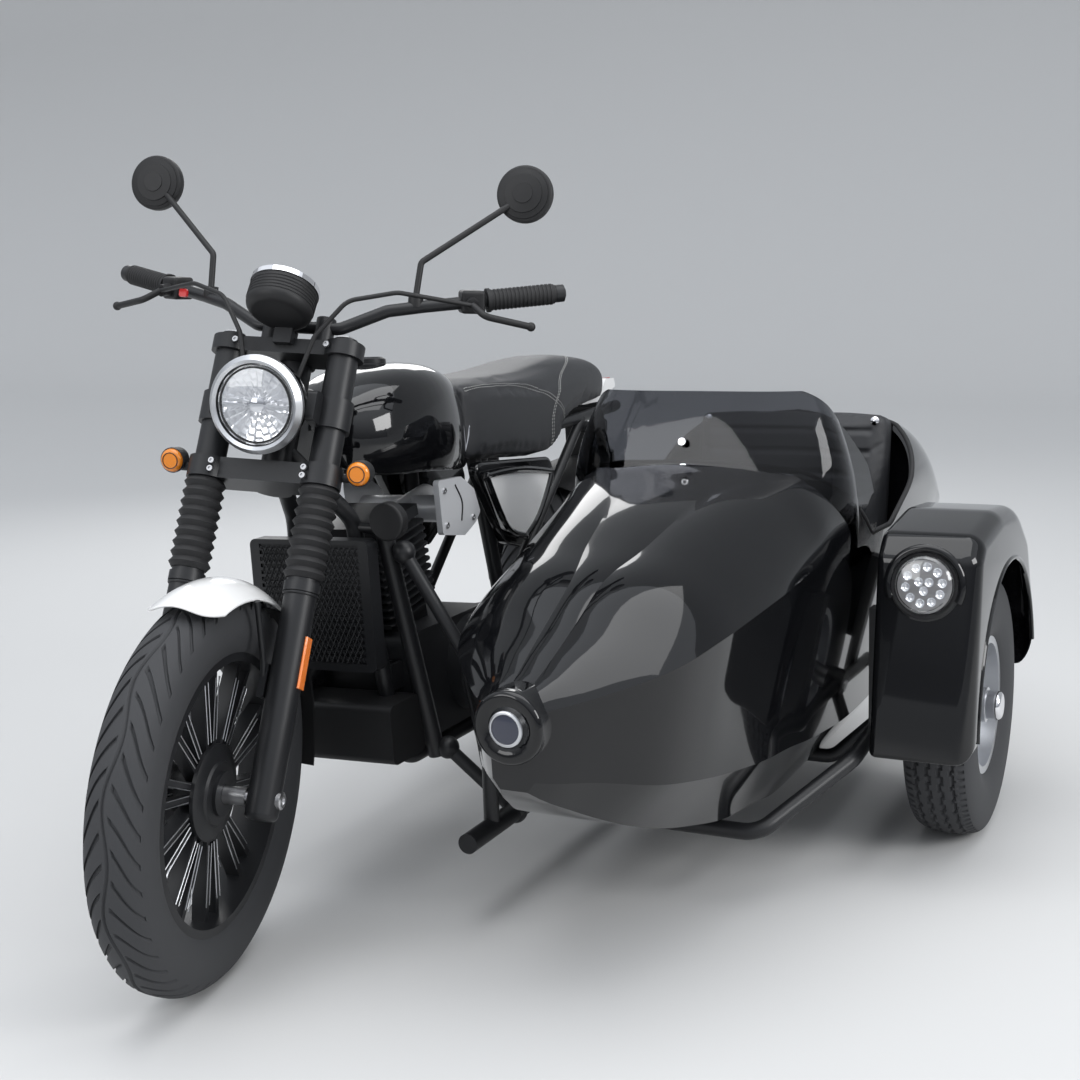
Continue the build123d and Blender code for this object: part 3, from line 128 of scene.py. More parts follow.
MATERIALS = {
    "black_satin_paint": add_bump(
        material("satin black", (0.013, 0.0135, 0.015), 0.4, specular=0.4), 900, 0.05),
    "black_gloss_paint": material("gloss black", (0.004, 0.0042, 0.005), 0.12, coat=1.0, specular=0.12),
    "black_gloss_glassfibre": material(
        "gloss glassfibre", (0.004, 0.0042, 0.005), 0.1, coat=0.8, specular=0.06),
    "white_gloss_paint": material("gloss white", (0.87, 0.87, 0.865), 0.22, coat=0.8),
    "black_plastic": add_bump(
        material("black plastic", (0.012, 0.012, 0.0128), 0.5, specular=0.38), 1400, 0.12),
    "rubber": add_bump(material("rubber", (0.016, 0.016, 0.017), 0.62, specular=0.4), 500, 0.1),
    "tyre": add_bump(material("tyre rubber", (0.036, 0.037, 0.04), 0.75), 420, 0.18, 6),
    "steel": add_bump(material("brushed steel", (0.56, 0.56, 0.57), 0.3, metallic=1.0), 300, 0.05),
    "aluminium": material("satin aluminium", (0.62, 0.63, 0.65), 0.34, metallic=1.0),
    "chrome": material("chrome", (0.8, 0.8, 0.82), 0.06, metallic=1.0),
    "clear_lens": material("clear lens", (0.96, 0.97, 0.98), 0.02, transmission=1.0, ior=1.46),
    "smoked_acrylic": material("smoked acrylic", (0.13, 0.135, 0.15), 0.02, transmission=1.0, ior=1.35),
    "amber_lens": material("amber lens", (0.95, 0.3, 0.02), 0.12, coat=0.5, transmission=0.25),
    "red_lens": material("red lens", (0.55, 0.01, 0.012), 0.12, coat=0.5, transmission=0.2),
    "black_leathercloth": add_bump(
        material("leathercloth", (0.024, 0.025, 0.028), 0.48), 900, 0.35, kind="grain"),
}
THREAD = material("pale thread", (0.5, 0.5, 0.48), 0.7)
SILVER_PAINT = material("silver paint", (0.66, 0.67, 0.69), 0.36, metallic=0.25, coat=0.3)
ORANGE_REFLECTOR = material("orange reflector", (0.85, 0.2, 0.02), 0.2, coat=0.4)
LED_WHITE = material("lamp reflector", (0.86, 0.86, 0.88), 0.18, metallic=0.6)
CUP_PLATE = material("lamp plate", (0.3, 0.29, 0.285), 0.3, metallic=0.5)
DARK_ENAMEL = material("dark enamel", (0.02, 0.024, 0.045), 0.12, coat=0.6)
RED_PLASTIC = material("red plastic", (0.5, 0.02, 0.02), 0.4)
MIRROR_GLASS = material("mirror glass", (0.85, 0.86, 0.88), 0.01, metallic=1.0)

CREASE = 32
SIDES = ((-1, "right"), (1, "left"))


def shade_smooth(mesh, crease=CREASE):
    """Smooth shading that breaks where the mesh turns by more than the crease, in degrees."""
    mesh.polygons.foreach_set("use_smooth", [True] * len(mesh.polygons))
    mesh.set_sharp_from_angle(angle=radians(crease))


def linked(name, data):
    """A new object in the scene."""
    made = bpy.data.objects.new(name, data)
    bpy.context.scene.collection.objects.link(made)
    return made


slot_of = {part["node"]: part["material_slot"] for part in frame["record"]["subparts"]}
REPAINTED = {"throttle_covers": SILVER_PAINT}
for node_name, node in nodes.items():
    node.data.materials.clear()
    node.data.materials.append(REPAINTED.get(node_name, MATERIALS[slot_of[node_name]]))
    shade_smooth(node.data)


# Makers of pieces, all in millimetres before the matrix
def add_piece(name, points, faces, matrix, paint, body="chassis", smooth=True):
    """A mesh piece that rides on a body. The paint is a slot's name or a material."""
    mesh = bpy.data.meshes.new(name)
    mesh.from_pydata([matrix @ Vector(point) for point in points], [], faces)
    mesh.materials.append(MATERIALS[paint] if isinstance(paint, str) else paint)
    tidy = bmesh.new()
    tidy.from_mesh(mesh)
    bmesh.ops.recalc_face_normals(tidy, faces=tidy.faces)
    tidy.to_mesh(mesh)
    tidy.free()
    if smooth:
        shade_smooth(mesh)
    piece = linked(name, mesh)
    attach(piece, body)
    return piece


def joined(groups):
    """One list of points and faces from several."""
    points = []
    faces = []
    for group_points, group_faces in groups:
        start = len(points)
        points += group_points
        faces += [[index + start for index in face] for face in group_faces]
    return points, faces


def grid(rows, close_rows=False, close_ends=False):
    """Points and faces of a net of rows."""
    count = len(rows[0])
    points = [point for row in rows for point in row]
    faces = []
    for r in range(len(rows) if close_rows else len(rows) - 1):
        low = r * count
        high = ((r + 1) % len(rows)) * count
        for c in range(count if close_ends else count - 1):
            after = (c + 1) % count
            faces.append([low + c, low + after, high + after, high + c])
    return points, faces


def closed_net(rows, close_rows=False):
    """Net of closed rows. The rows join up in a ring, or else a face covers each end."""
    points, faces = grid(rows, close_rows, close_ends=True)
    size = len(rows[0])
    if not close_rows:
        faces.append(list(range(size)))
        faces.append([len(points) - size + k for k in range(size)])
    return points, faces


def lathe(profile, steps=48, at=(0, 0, 0)):
    """Net of a profile of radius and height turned about Z."""
    rows = []
    for step in range(steps):
        turn = 2 * pi * step / steps
        rows.append([(at[0] + r * cos(turn), at[1] + r * sin(turn), at[2] + z) for r, z in profile])
    return grid(rows, close_rows=True)


def moved(group, matrix):
    """Points and faces with the points moved by a matrix."""
    return [tuple(matrix @ Vector(point)) for point in group[0]], group[1]


def smooth_path(points, steps=6, closed=False):
    """Points along a smooth curve through the given points."""
    made = []
    count = len(points)
    known = [Vector(point) for point in points]
    for index in range(count if closed else count - 1):
        if closed:
            a, b, c, d = (known[(index + k) % count] for k in (-1, 0, 1, 2))
        else:
            b, c = known[index], known[index + 1]
            a = known[index - 1] if index else b * 2 - c
            d = known[index + 2] if index + 2 < count else c * 2 - b
        for step in range(steps):
            t = step / steps
            made.append(0.5 * (2 * b + (c - a) * t + (2 * a - 5 * b + 4 * c - d) * t * t
                               + (3 * b - a - 3 * c + d) * t ** 3))
    if not closed:
        made.append(known[-1])
    return made


def tube(path, radius, sides=8, closed=False):
    """Net of a round tube along a path, closed at its ends."""
    rows = []
    count = len(path)
    side = None
    for index, point in enumerate(path):
        before = path[index - 1] if index or closed else point
        after = path[(index + 1) % count] if index + 1 < count or closed else point
        ahead = (after - before).normalized()
        if side is None:
            side = ahead.cross(Vector((0.31, 0.42, 0.85))).normalized()
        side = (side - ahead * side.dot(ahead)).normalized()
        other = ahead.cross(side)
        row = []
        for k in range(sides):
            turn = 2 * pi * k / sides
            row.append(tuple(point + radius * (side * cos(turn) + other * sin(turn))))
        rows.append(row)
    return closed_net(rows, closed)


def block(low, high, chamfer=0.0):
    """Points and faces of a box, with its upright edges cut."""
    x0, y0, z0 = low
    x1, y1, z1 = high
    c = chamfer
    ring = [(x0 + c, y0), (x1 - c, y0), (x1, y0 + c), (x1, y1 - c)]
    ring += [(x1 - c, y1), (x0 + c, y1), (x0, y1 - c), (x0, y0 + c)]
    return closed_net([[(x, y, z) for x, y in ring] for z in (z0, z1)])


def screw(radius, height, at=(0, 0, 0)):
    """Head of a socket screw on a face whose outward side is +Z."""
    socket = 0.5 * radius
    return lathe([(0, height * 0.45), (socket, height * 0.45), (socket, height), (radius * 0.9, height),
                  (radius, height * 0.75), (radius, -0.5)], 20, at)


def turned_to(at, direction):
    """Matrix that moves to a point and turns Z to a direction."""
    return Matrix.Translation(at) @ Vector(direction).to_track_quat("Z", "Y").to_matrix().to_4x4()


def surface_of(piece):
    """Search tree of a piece's faces."""
    mesh = piece.data
    return BVHTree.FromPolygons(
        [vertex.co.copy() for vertex in mesh.vertices], [list(face.vertices) for face in mesh.polygons])


# Tyres with tread, which starts at a share of the tyre's radius and fades in over a few millimetres
TREAD_SHARE = 0.8
TREAD_FADE = 12.0


def tyre_points(half_section, groove, lag, wave, steps, across):
    """Net of a tyre from its half section, with grooves along its own grid lines.

    The lag turns each point back by its distance from the middle, and the wave moves the middle sideways.
    """
    section = [Vector((-x, r, 0)) for r, x in half_section]
    section += [Vector((x, r, 0)) for r, x in reversed(half_section[:-1])]
    fine = smooth_path(section, across)
    tread_from = TREAD_SHARE * half_section[-1][0]
    half_width = max(x for r, x in half_section)
    rows = []
    for step in range(steps):
        turn = 2 * pi * step / steps
        row = []
        for point in fine:
            share = min(1.0, abs(point.x) / half_width)
            on_tread = min(1.0, max(0.0, (point.y - tread_from) / TREAD_FADE))
            here = turn - lag * share ** 1.5 * on_tread
            x = point.x + wave(here) * (1 - share) ** 2 * on_tread
            r = point.y - (groove(point.x, turn) if point.y > tread_from else 0.0)
            row.append((x, r * sin(here), r * cos(here)))
        rows.append(row)
    return grid(rows, close_rows=True)


MIDDLE_GROOVE_HALF = 1.8
SIDE_GROOVE_SHARE = 0.17


def chevrons(half_tread, blocks, depth):
    """Road tread: a middle groove and curved side grooves, alternating."""
    def groove(x, turn):
        if abs(x) < MIDDLE_GROOVE_HALF:
            return depth * 0.8
        phase = (turn * blocks / (2 * pi) + (0.5 if x > 0 else 0.0)) % 1.0
        beside = 0.2 * half_tread < abs(x) < 0.97 * half_tread
        return depth if phase < SIDE_GROOVE_SHARE and beside else 0.0
    return groove


ZIGZAG_HEIGHT = 5.0
ZIGZAG_GROOVE_HALF = 2.3


def zigzags(half_tread, blocks, depth, lines):
    """Ribbed tread with zigzag grooves round the tyre and short cuts in its shoulders."""
    def groove(x, turn):
        if abs(x) > half_tread:
            return 0.0
        wave = abs((turn * blocks / (2 * pi)) % 1.0 * 2 - 1) * ZIGZAG_HEIGHT - ZIGZAG_HEIGHT / 2
        for line in lines:
            if abs(x - line - wave) < ZIGZAG_GROOVE_HALF:
                return depth
        side = (turn * blocks * 2 / (2 * pi)) % 1.0
        return depth * 0.7 if side < 0.3 and abs(x) > 0.84 * half_tread else 0.0
    return groove


# Half sections from bead to crown: radius, half width
FRONT_SECTION = [(219, 33), (232, 42), (252, 49), (272, 50), (291, 46), (306, 36), (315, 20), (318.4, 0)]
REAR_SECTION = [(217, 51), (232, 64), (256, 73), (276, 74), (296, 66), (309, 50), (317.5, 27), (320.9, 0)]
SIDE_SECTION = [(128, 44), (142, 56), (168, 64), (200, 65), (228, 61), (244, 52), (251.5, 30), (253.8, 0)]
# wheel, half section, grooves, lag, waves and their height, steps round, points between sections
TYRES = [
    ("front", FRONT_SECTION, chevrons(46, 44, 4.2), 0.3, 11, 7.0, 792, 6),
    ("rear", REAR_SECTION, chevrons(66, 40, 4.5), 0.3, 10, 8.0, 720, 6),
    ("sidecar", SIDE_SECTION, zigzags(52, 46, 5.5, (-33, -11, 11, 33)), 0.0, 1, 0.0, 736, 7)]
for wheel, section, groove, lag, waves, height, steps, across in TYRES:
    points, faces = tyre_points(section, groove, lag, lambda turn: height * sin(waves * turn), steps, across)
    tyre_node = wheel + "_tyre"
    piece = add_piece(
        tyre_node + "_tread", points, faces, wheel_place(wheel + "_wheel_spin"), "tyre", wheel + "_wheel")
    piece.data.set_sharp_from_angle(angle=radians(24))
    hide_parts(tyre_node)

# Silver machined edges on the cast wheels
FRONT_WHEEL = wheel_place("front_wheel_spin")
REAR_WHEEL = wheel_place("rear_wheel_spin")
SIDE_WHEEL = wheel_place("sidecar_wheel_spin")
SPOKE_PAIRS = 10
LINES_FROM_R = 84.0
LINES_TO_LIP = 34.0
# Distances of the bright lines from the middle of a spoke pair, at the hub and at the rim
SPOKE_LINES = ((14, 25), (4, 14))


def wheel_edges(rim_half, lip_r, face_x):
    """Thin bright lines on the rim lips and along the edges of the paired spokes."""
    groups = []
    for side in (-1, 1):
        lip = []
        for k in range(120):
            turn = 2 * pi * k / 120
            lip.append(Vector((side * rim_half, lip_r * sin(turn), lip_r * cos(turn))))
        groups.append(tube(lip, 1.1, 6, True))
        for index in range(SPOKE_PAIRS):
            turn = Matrix.Rotation(2 * pi * index / SPOKE_PAIRS, 3, "X")
            for spoke in (-1, 1):
                for foot, head in SPOKE_LINES:
                    line = [turn @ Vector((side * face_x, spoke * foot, LINES_FROM_R)),
                            turn @ Vector((side * face_x, spoke * head, lip_r - LINES_TO_LIP))]
                    groups.append(tube(line, 0.8, 6))
    return joined(groups)


add_piece("front_wheel_edges", *wheel_edges(33.2, 219, 14.2), FRONT_WHEEL, "aluminium", "front_wheel")
add_piece("rear_wheel_edges", *wheel_edges(51.2, 217, 16.2), REAR_WHEEL, "aluminium", "rear_wheel")

# Nuts of the sidecar wheel
NUT_COUNT = 4
NUT_CIRCLE_R = 42.0
NUT_X = 25.0
nuts = []
for index in range(NUT_COUNT):
    turn = 2 * pi * (index + 0.5) / NUT_COUNT
    spot = placed((NUT_X, NUT_CIRCLE_R * sin(turn), NUT_CIRCLE_R * cos(turn)), 90, "Y")
    nuts.append(moved(screw(9, 7.2), spot))
add_piece("side_wheel_nuts", *joined(nuts), SIDE_WHEEL, "chrome", "sidecar_wheel")

# Round hub flange of the front wheel on the side without a brake, and the ends of its axle
AXLE_END_X = 128.5
flange = lathe([(19, 30), (26, 34), (32, 34), (34, 30), (50, 28), (53, 24), (72, 22), (78, 18), (78, 12)], 72)
flange = moved(flange, placed((0, 0, 0), 90, "Y"))
add_piece("front_hub_flange", *flange, FRONT_WHEEL, "black_satin_paint", "front_wheel")
axle_ends = []
for side in (-1, 1):
    out = placed((side * AXLE_END_X, 0, AXLE_Z), 90 * side, "Y")
    axle_ends.append(moved(lathe([(0, 3), (5, 3), (6, 6), (11, 6), (14, 4), (14, -3)], 40), out))
add_piece("axle_ends", *joined(axle_ends), ON_STEER, "steel", "steering")

# Front mudguard: the solid's arch with rounded front corners and a rolled edge
ARCH_AT = ON_STEER @ Matrix.Translation((0, 0, AXLE_Z))
ARCH_TOP = 342.5
ARCH_HALF = 61.5
ARCH_DROP = 30.0
ARCH_WALL = 3.0
ARCH_REAR = 50.0
ARCH_FRONT = 107.0
ARCH_CORNER = 7.0
ARCH_STEPS = 40
ARCH_ACROSS = [j / 16 - 1 for j in range(33)]


def arch_point(share, along, inset):
    """Point of the arch by its shares across and along, and by its depth in the wall.

    The share across runs from -1 to 1, and the share along from the rear to the front.
    """
    front = ARCH_FRONT - ARCH_CORNER * abs(share) ** 5
    angle = radians(ARCH_REAR + (front - ARCH_REAR) * along)
    r = ARCH_TOP - ARCH_DROP * share * share - inset
    return ((ARCH_HALF - inset * 0.6) * share, r * cos(angle), r * sin(angle))


arch_rows = []
for k in range(ARCH_STEPS + 1):
    outer = [arch_point(share, k / ARCH_STEPS, 0) for share in ARCH_ACROSS]
    inner = [arch_point(share, k / ARCH_STEPS, ARCH_WALL) for share in reversed(ARCH_ACROSS)]
    arch_rows.append(outer + inner)
arch_points, arch_faces = grid(arch_rows, close_ends=True)
ring_size = len(arch_rows[0])
for low in (0, len(arch_points) - ring_size):
    for j in range(len(ARCH_ACROSS) - 1):
        arch_faces.append([low + j, low + j + 1, low + ring_size - 2 - j, low + ring_size - 1 - j])
arch_skin = add_piece(
    "front_mudguard_skin", arch_points, arch_faces, ARCH_AT, "white_gloss_paint", "steering")
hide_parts("front_mudguard")
edge_loop = [arch_point(share, 1, ARCH_WALL / 2) for share in ARCH_ACROSS]
edge_loop += [arch_point(1, 1 - k / 20, ARCH_WALL / 2) for k in range(1, 20)]
edge_loop += [arch_point(share, 0, ARCH_WALL / 2) for share in reversed(ARCH_ACROSS)]
edge_loop += [arch_point(-1, k / 20, ARCH_WALL / 2) for k in range(1, 20)]
rolled = tube([Vector(point) for point in edge_loop], 2.4, 8, True)
add_piece("front_mudguard_edge", *rolled, ARCH_AT, "white_gloss_paint", "steering")

# Headlamp: clear glass in front of a faceted reflector
LAMP_R = 66.0
HEADLAMP = ON_STEER @ placed(fork_point(0, 626, 76.5), 90)
glass_outer = [(0, 19), (20, 18.6), (40, 16.6), (56, 13.4), (LAMP_R, 10), (LAMP_R, 2)]
glass_inner = [(LAMP_R - 2, 2), (LAMP_R - 2, 9), (55, 11.6), (40, 14.6), (20, 16.6), (0, 17)]
glass = add_piece("headlamp_glass", *lathe(glass_outer + glass_inner, 72), HEADLAMP, "clear_lens", "steering")
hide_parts("headlamp_lens")
DISH_STEPS = 96
DISH_DEPTH = 8.0
DISH_RIPPLE = 0.7
BAND_HALF = 9.0
BAND_DEPTH = 0.88


def flutes():
    """Reflector dish with stepped facets, cut by a flat band across the middle."""
    rows = []
    for step in range(DISH_STEPS):
        turn = 2 * pi * step / DISH_STEPS
        ripple = DISH_RIPPLE if (step // 4) % 2 else -DISH_RIPPLE
        row = []
        for k in range(13):
            r = LAMP_R * (0.2 + 0.8 * k / 12)
            band = BAND_DEPTH if abs(r * sin(turn)) < BAND_HALF else 0.0
            z = 1.4 + DISH_DEPTH * (r / LAMP_R) ** 2 + ripple * (1 if k % 3 else 0.2) - band
            row.append((r * cos(turn), r * sin(turn), max(0.6, z)))
        rows.append(row)
    return grid(rows, close_rows=True)


add_piece("headlamp_reflector", *flutes(), HEADLAMP, LED_WHITE, "steering", smooth=False)
bulb_hood = joined([
    lathe([(0, 8), (9, 8), (13, 6), (14, 1)], 32),
    block((-58, -1.2, 3), (-15, 1.2, 12)), block((15, -1.2, 3), (58, 1.2, 12))])
add_piece("headlamp_core", *bulb_hood, HEADLAMP, "chrome", "steering")
inner_ring = lathe([(60, 2), (60, 12), (63, 12), (63, 2)], 72)
add_piece("headlamp_inner_ring", *inner_ring, HEADLAMP, "black_plastic", "steering")

# Instrument face with plain marks and a needle
POD = ON_STEER @ placed(fork_point(0, 812, 63), -38)
DIAL_Z = 31.6
MARK_COUNT = 25
MARK_SWEEP = 270.0
marks = []
for index in range(MARK_COUNT):
    turn = Matrix.Rotation(radians(-135 + index * MARK_SWEEP / (MARK_COUNT - 1)), 4, "Z")
    inner = 36 if index % 4 == 0 else 40
    marks.append(moved(block((-0.7, inner, DIAL_Z), (0.7, 46, DIAL_Z + 0.5)), turn))
add_piece("dial_marks", *joined(marks), POD, "white_gloss_paint", "steering")
needle = moved(block((-1, -8, DIAL_Z + 1), (1, 34, DIAL_Z + 2)), Matrix.Rotation(radians(128), 4, "Z"))
add_piece("dial_needle", *needle, POD, RED_PLASTIC, "steering")
add_piece("dial_glass", *lathe([(0, 36), (50, 35), (50.5, 34), (0, 34)], 48), POD, "clear_lens", "steering")
pod_grooves = joined([lathe([(57.3, z - 1.2), (58.2, z), (57.3, z + 1.2)], 64) for z in (-6, 0, 6, 12, 18)])
add_piece("pod_grooves", *pod_grooves, POD, "black_plastic", "steering")

# Mirrors: stepped backs and glass
MIRROR_TURN = 82.0
BACK_STEPS = [
    (50, 5), (49.5, 9), (47, 11), (44, 11.4), (43.4, 13.6), (34, 16), (33.4, 18), (18, 20), (17.4, 21.5),
    (0, 22)]
glass_disc = lathe([(0, -10.6), (46, -10.6), (46.5, -9.8)], 64)
for side, word in SIDES:
    place = ON_STEER @ placed(fork_point(side * 352, 1096, -77), MIRROR_TURN)
    add_piece("mirror_back_" + word, *lathe(BACK_STEPS, 64), place, "black_plastic", "steering")
    add_piece("mirror_glass_" + word, *glass_disc, place, MIRROR_GLASS, "steering")

# Ribbed grips along the bar ends, bar plugs and the red switch
GRIP_R = 17.2
RIB_R = 18.6
RIB_PITCH = 7.2
GRIP_LENGTH = 122.0
grip_profile = [(GRIP_R, 0)]
for index in range(16):
    z = 3 + index * RIB_PITCH
    grip_profile += [(GRIP_R, z), (RIB_R, z + 1), (RIB_R, z + 4.4), (GRIP_R, z + 5.4)]
grip_profile += [(GRIP_R, GRIP_LENGTH)]
plug = lathe([(0, -21), (9, -21), (15.4, -17), (15.6, -3), (12, -1)], 32)
for side, word in SIDES:
    bar_end = Vector((side * 408, 552, 1100))
    bar_shoulder = Vector((side * 205, 439.5, 1073))
    place = ON_STEER @ turned_to(bar_end, (bar_shoulder - bar_end).normalized())
    add_piece("grip_ribs_" + word, *lathe(grip_profile, 32), place, "rubber", "steering")
    add_piece("bar_plug_" + word, *plug, place, "black_satin_paint", "steering")
red_at = ON_STEER @ turned_to((-236, 436, 1076), (0, -1, 0.2))
add_piece("red_switch", *block((-7, -9, 16), (7, 5, 24), 2), red_at, RED_PLASTIC, "steering")

# Screws on the yokes, caps on the fork tubes
yoke_screws = []
for side in (-1, 1):
    for along in (753.5, 537, 523):
        spot = placed((side * (LEG_X - 20), -34, along), 90)
        yoke_screws.append(moved(screw(5.5, 4.5), spot))
    cap = lathe([(0, 4), (12, 4), (14, 2.5), (19, 2), (19.5, -1)], 6)
    yoke_screws.append(moved(cap, Matrix.Translation((side * LEG_X, 0, 775))))
add_piece("yoke_screws", *joined(yoke_screws), IN_FORK, "steel", "steering")

# Clamp bands under the gaiters, leg reflectors, indicator bezels
BAND_FOOT_R = 28.4
BAND_R = 29.6
REFLECTOR_X = 129.0
bands = []
reflectors = []
rings = []
for side in (-1, 1):
    for along in (331, 338, 345):
        band = [(BAND_FOOT_R, -2.6), (BAND_R, -1), (BAND_R, 1), (BAND_FOOT_R, 2.6)]
        bands.append(lathe(band, 40, (side * LEG_X, 0, along)))
    reflectors.append(block((side * REFLECTOR_X - 2.5, -12, 178), (side * REFLECTOR_X + 2.5, 12, 262), 2))
    ring = joined([lathe([(20.4, 0), (21.6, 1), (21.6, 6), (20.2, 7)], 40),
                   lathe([(14, 13.4), (14, 14.8), (12.6, 14.8), (12.6, 13.4)], 40)])
    rings.append(moved(ring, placed(fork_point(side * 167, 543, 2), 90)))
add_piece("leg_bands", *joined(bands), IN_FORK, "black_satin_paint", "steering")
add_piece("leg_reflectors", *joined(reflectors), IN_FORK, ORANGE_REFLECTOR, "steering")
add_piece("indicator_rings", *joined(rings), ON_STEER, "black_plastic", "steering")

# Radiator core seen as a lattice of thin bars
CORE_Y = 351.0
CORE_HALF = 100.0
CORE_LOW = 444.0
CORE_HIGH = 650.0
BAR_PITCH = 11.0
BAR_LEAN = 0.55
SHORTEST_BAR = 6.0
core_height = CORE_HIGH - CORE_LOW
core = []
for slope in (-1, 1):
    for index in range(-18, 40):
        start = -CORE_HALF + index * BAR_PITCH
        foot_x = start if slope > 0 else start + BAR_LEAN * core_height
        head_x = start + BAR_LEAN * core_height if slope > 0 else start
        ends = []
        for x in (foot_x, head_x):
            x_in = min(CORE_HALF, max(-CORE_HALF, x))
            share = (x_in - foot_x) / (head_x - foot_x)
            ends.append(Vector((x_in, CORE_Y - slope * 0.4, CORE_LOW + share * core_height)))
        if (ends[0] - ends[1]).length > SHORTEST_BAR:
            core.append(tube(ends, 1.0, 4))
add_piece("radiator_lattice", *joined(core), ON_BIKE, "black_satin_paint", smooth=False)

# Tank trim: a bright line at the rear edge and the filler cap
TANK_REAR = [(97, 748, 740), (108, 764, 800), (103, 770, 846), (80, 772, 892), (0, 774, 921)]
tank_line = [Vector(point) for point in TANK_REAR]
tank_line += [Vector((-x, y, z)) for x, y, z in reversed(TANK_REAR[:-1])]
add_piece("tank_rear_line", *tube(smooth_path(tank_line, 8), 2.6, 8), ON_BIKE, "chrome")
cap_at = ON_BIKE @ placed((0, 600, 950), -4)
filler = lathe([(0, 14), (24, 14), (30, 10), (30.5, 2), (34, 0), (34, -6)], 48)
add_piece("tank_filler", *filler, cap_at, "black_satin_paint")

# Raised rims of the side panels and details of the throttle covers, with a black line of painted shade along each
# cover's crease, as y and z
RIM_X = 132.0
PANEL_RIM = [
    (790, 716), (920, 711), (1050, 690), (1062, 680), (1000, 610), (938, 574), (925, 574), (852, 606),
    (786, 706)]
COVER_X = 112.0
COVER_SCREWS = [(650, 640), (752, 640), (648, 706)]
for side, word in SIDES:
    rim = smooth_path([(side * RIM_X, y, z) for y, z in PANEL_RIM], 6, True)
    add_piece("panel_surround_" + word, *tube(rim, 6.5, 10, True), ON_BIKE, "black_gloss_paint")
    screws = []
    for y, z in COVER_SCREWS:
        screws.append(moved(screw(6, 3), placed((side * COVER_X, y, z), 90 * side, "Y")))
    # Black plastic line along the cover's crease: painted shade of the fold, not a part of the cover
    crease = smooth_path([(side * 112.4, 690, 712), (side * 112.8, 712, 676), (side * 112.6, 706, 640)], 6)
    add_piece("cover_screws_" + word, *joined(screws), ON_BIKE, "steel")
    add_piece("cover_crease_shade_" + word, *tube(crease, 1.6, 8), ON_BIKE, "black_plastic")

# Engine covers: round steps and screws
COVER_Z = 368.0
SCREW_SHARE = 0.87
engine_trim = []
# side, x, y and radius of each cover
for side, x, at_y, radius in ((1, 150, 690, 93), (-1, -152, 610, 99)):
    spot = placed((x, at_y, COVER_Z), 90 * side, "Y")
    engine_trim.append(moved(lathe([(0, 7), (40, 7), (44, 4), (46, 0)], 48), spot))
    for index in range(8):
        turn = 2 * pi * index / 8
        at = (SCREW_SHARE * radius * cos(turn), SCREW_SHARE * radius * sin(turn), 0)
        engine_trim.append(moved(screw(5.5, 4, at), spot))
add_piece("engine_trim", *joined(engine_trim), ON_BIKE, "black_satin_paint")

# Sidecar badge: a plain ringed disc
BADGE = ON_GROUND @ placed((BODY_X, 14.1, 474), 90)
badge_disc = lathe([(0, 2.4), (21, 2.1), (22, 1.8), (22, 0)], 56)
add_piece("badge_face", *badge_disc, BADGE, DARK_ENAMEL)
badge_ring = lathe([(22, 1.5), (22.4, 3.0), (24.2, 3.0), (25.2, 1.9), (26.6, 1.5), (26.6, 0)], 56)
add_piece("badge_ring", *badge_ring, BADGE, "aluminium")

# Screen screws: place and facing
SCREEN_SCREWS = [((520, 769.5, 798), (0, -1, 0.32)), ((522, 766, 752), (0, -0.7, 0.75))]
screws = [moved(screw(7.5, 4.5, (0, 0, -1.5)), turned_to(at, facing)) for at, facing in SCREEN_SCREWS]
add_piece("screen_screws", *joined(screws), ON_GROUND, "chrome")

# Front lamp of the sidecar: clear glass over rings of small light cups, a little wider than its solid
FRONT_LAMP_WIDTH = 1.16
FRONT_LAMP = ON_GROUND @ placed((950, 826.3, 548), 90 - 9.15)
FRONT_LAMP = FRONT_LAMP @ Matrix.Diagonal((FRONT_LAMP_WIDTH, FRONT_LAMP_WIDTH, 1, 1))
CUP_Z = 5.5
cup_plate = lathe([(0, CUP_Z), (42.4, CUP_Z), (42.6, 1)], 64)
add_piece("front_lamp_plate", *cup_plate, FRONT_LAMP, CUP_PLATE)
cups = []
for ring_r, count in ((9, 3), (28, 10)):
    for index in range(count):
        turn = 2 * pi * (index + 0.25) / count
        at = (ring_r * cos(turn), ring_r * sin(turn), CUP_Z)
        cups.append(lathe([(6.9, 0), (7.2, 4.5), (6.4, 4.8), (3.4, 1.6), (0, 1.0)], 24, at))
add_piece("front_lamp_cups", *joined(cups), FRONT_LAMP, LED_WHITE)
lamp_outer = [(0, 22), (30, 21.6), (40, 19), (44.6, 13), (44.8, 1)]
lamp_inner = [(42.8, 1), (42.6, 12), (38.6, 17), (29, 19.6), (0, 20)]
lamp_glass = lathe(lamp_outer + lamp_inner, 64)
lamp_glass = add_piece("front_lamp_glass", *lamp_glass, FRONT_LAMP, "clear_lens")
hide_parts("sidecar_front_lamp")
lamp_seat = lathe([(45.2, 3), (50, 5), (53, 3), (54, -1.5)], 64)
add_piece("front_lamp_seal", *lamp_seat, FRONT_LAMP, "rubber")
lamp_housing = lathe([(40, -36), (50, -30), (55, -12), (56.5, -2), (55.5, 2), (52, 3)], 64)
add_piece("front_lamp_housing", *lamp_housing, FRONT_LAMP, "black_gloss_glassfibre")


